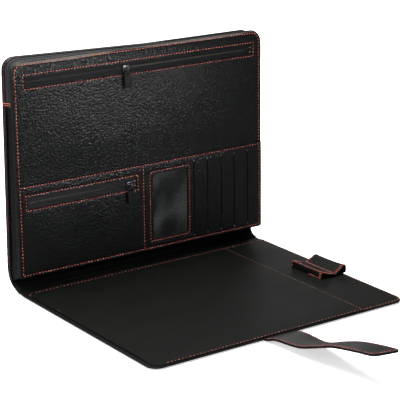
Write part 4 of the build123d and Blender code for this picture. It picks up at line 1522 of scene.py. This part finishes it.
# ---- CAD nodes that stay ----
KEPT = {
    "board": BOARD, "lining_cloth": CLOTH, "dark_metal": DARK_METAL, "bright_metal": BRIGHT_METAL,
    "magnet_steel": BRIGHT_METAL, "zip_tape": TAPE_ALONG, "zip_coil": NYLON, "grained_leather": GRAINED,
    "smooth_leather": SMOOTH, "strap_leather": STRAP_LEATHER, "clear_vinyl": VINYL,
}


def finish_cad_nodes():
    """Give every CAD node the procedural material of its slot."""
    for part in frame["record"]["subparts"]:
        node = frame["nodes"][part["node"]]
        for slot in node.material_slots:
            slot.material = KEPT[part["material_slot"]]


# ---- Stage, light and camera ----
FLOOR_REACH = 12.0
FLOOR_DROP = 0.0004       # keeps the floor just clear of the cover's underside
SKY_STRENGTH = 0.22
# Each light: name, place, target, size, power in watts, and how wide it spreads in degrees.
LIGHTS = (
    ("overhead_softbox", (-0.3, 0.5, 2.2), (0, 0, 0.1), (3.0, 2.4), 190, 180),
    ("front_softbox", (0.17, -0.42, 0.37), (-0.12, 0.13, 0.14), (0.18, 0.12), 0.29, 55),
    ("rear_card", (0.45, 0.42, 0.13), (0.15, 0.09, 0), (0.14, 0.06), 0.10, 180),
    ("left_card", (-0.9, 0.10, 0.40), (-0.18, 0.14, 0.13), (0.4, 0.4), 3.0, 180),
)


def area_light(name, place, target, size, power, spread):
    data = bpy.data.lights.new(name, "AREA")
    data.shape = "RECTANGLE"
    data.size, data.size_y = size
    data.energy = power
    data.spread = math.radians(spread)
    light = bpy.data.objects.new(name, data)
    light.location = place
    light.rotation_euler = (Vector(target) - Vector(place)).to_track_quat("-Z", "Y").to_euler()
    bpy.context.scene.collection.objects.link(light)


def make_stage():
    """The floor, the even white sky and the lights."""
    edges = (-FLOOR_REACH, 0, FLOOR_REACH)
    rows = [[Vector((x, y, -FLOOR_DROP)) for x in edges] for y in edges]
    floor = surface("floor", rows, floor_material())
    floor.visible_glossy = False
    sky = bpy.data.worlds.new("studio")
    sky.use_nodes = True
    background = sky.node_tree.nodes["Background"]
    background.inputs["Color"].default_value = (1, 1, 1, 1)
    background.inputs["Strength"].default_value = SKY_STRENGTH
    bpy.context.scene.world = sky
    for light in LIGHTS:
        area_light(*light)
    bpy.context.scene.view_settings.view_transform = "Standard"


CAMERA_PLACE = (-1.0452, -1.4041, 0.6618)
CAMERA_YAW = 36.1
CAMERA_PITCH = 17.13
CAMERA_ROLL = -0.3
CAMERA_LENS = 144.3


def make_camera():
    data = bpy.data.cameras.new("camera")
    data.lens = CAMERA_LENS
    data.sensor_width = 36.0
    camera = bpy.data.objects.new("camera", data)
    pan = Matrix.Rotation(math.radians(-CAMERA_YAW), 4, "Z")
    tilt = Matrix.Rotation(math.radians(90 - CAMERA_PITCH), 4, "X")
    roll = Matrix.Rotation(math.radians(-CAMERA_ROLL), 4, "Z")
    camera.matrix_world = Matrix.Translation(CAMERA_PLACE) @ (pan @ tilt) @ roll
    bpy.context.scene.collection.objects.link(camera)
    bpy.context.scene.camera = camera


make_shell()
make_spine_lining()
make_pad_pocket()
make_pen_loops()
make_cover_stitches()
make_organiser()
for zip_args in (("upper", UPPER_ZIP, -LEATHER, UPPER_SLIDER_X), ("lower", LOWER_ZIP, 0, LOWER_SLIDER_X)):
    pocket_zip(*zip_args)
make_main_zip()
for side, node in ((-1, "side_gusset_left"), (1, "side_gusset_right")):
    make_side_gusset(side, node)
make_lip_stitches()
make_zip_end_patches()
make_pulls()
make_strap()
finish_cad_nodes()
make_stage()
make_camera()
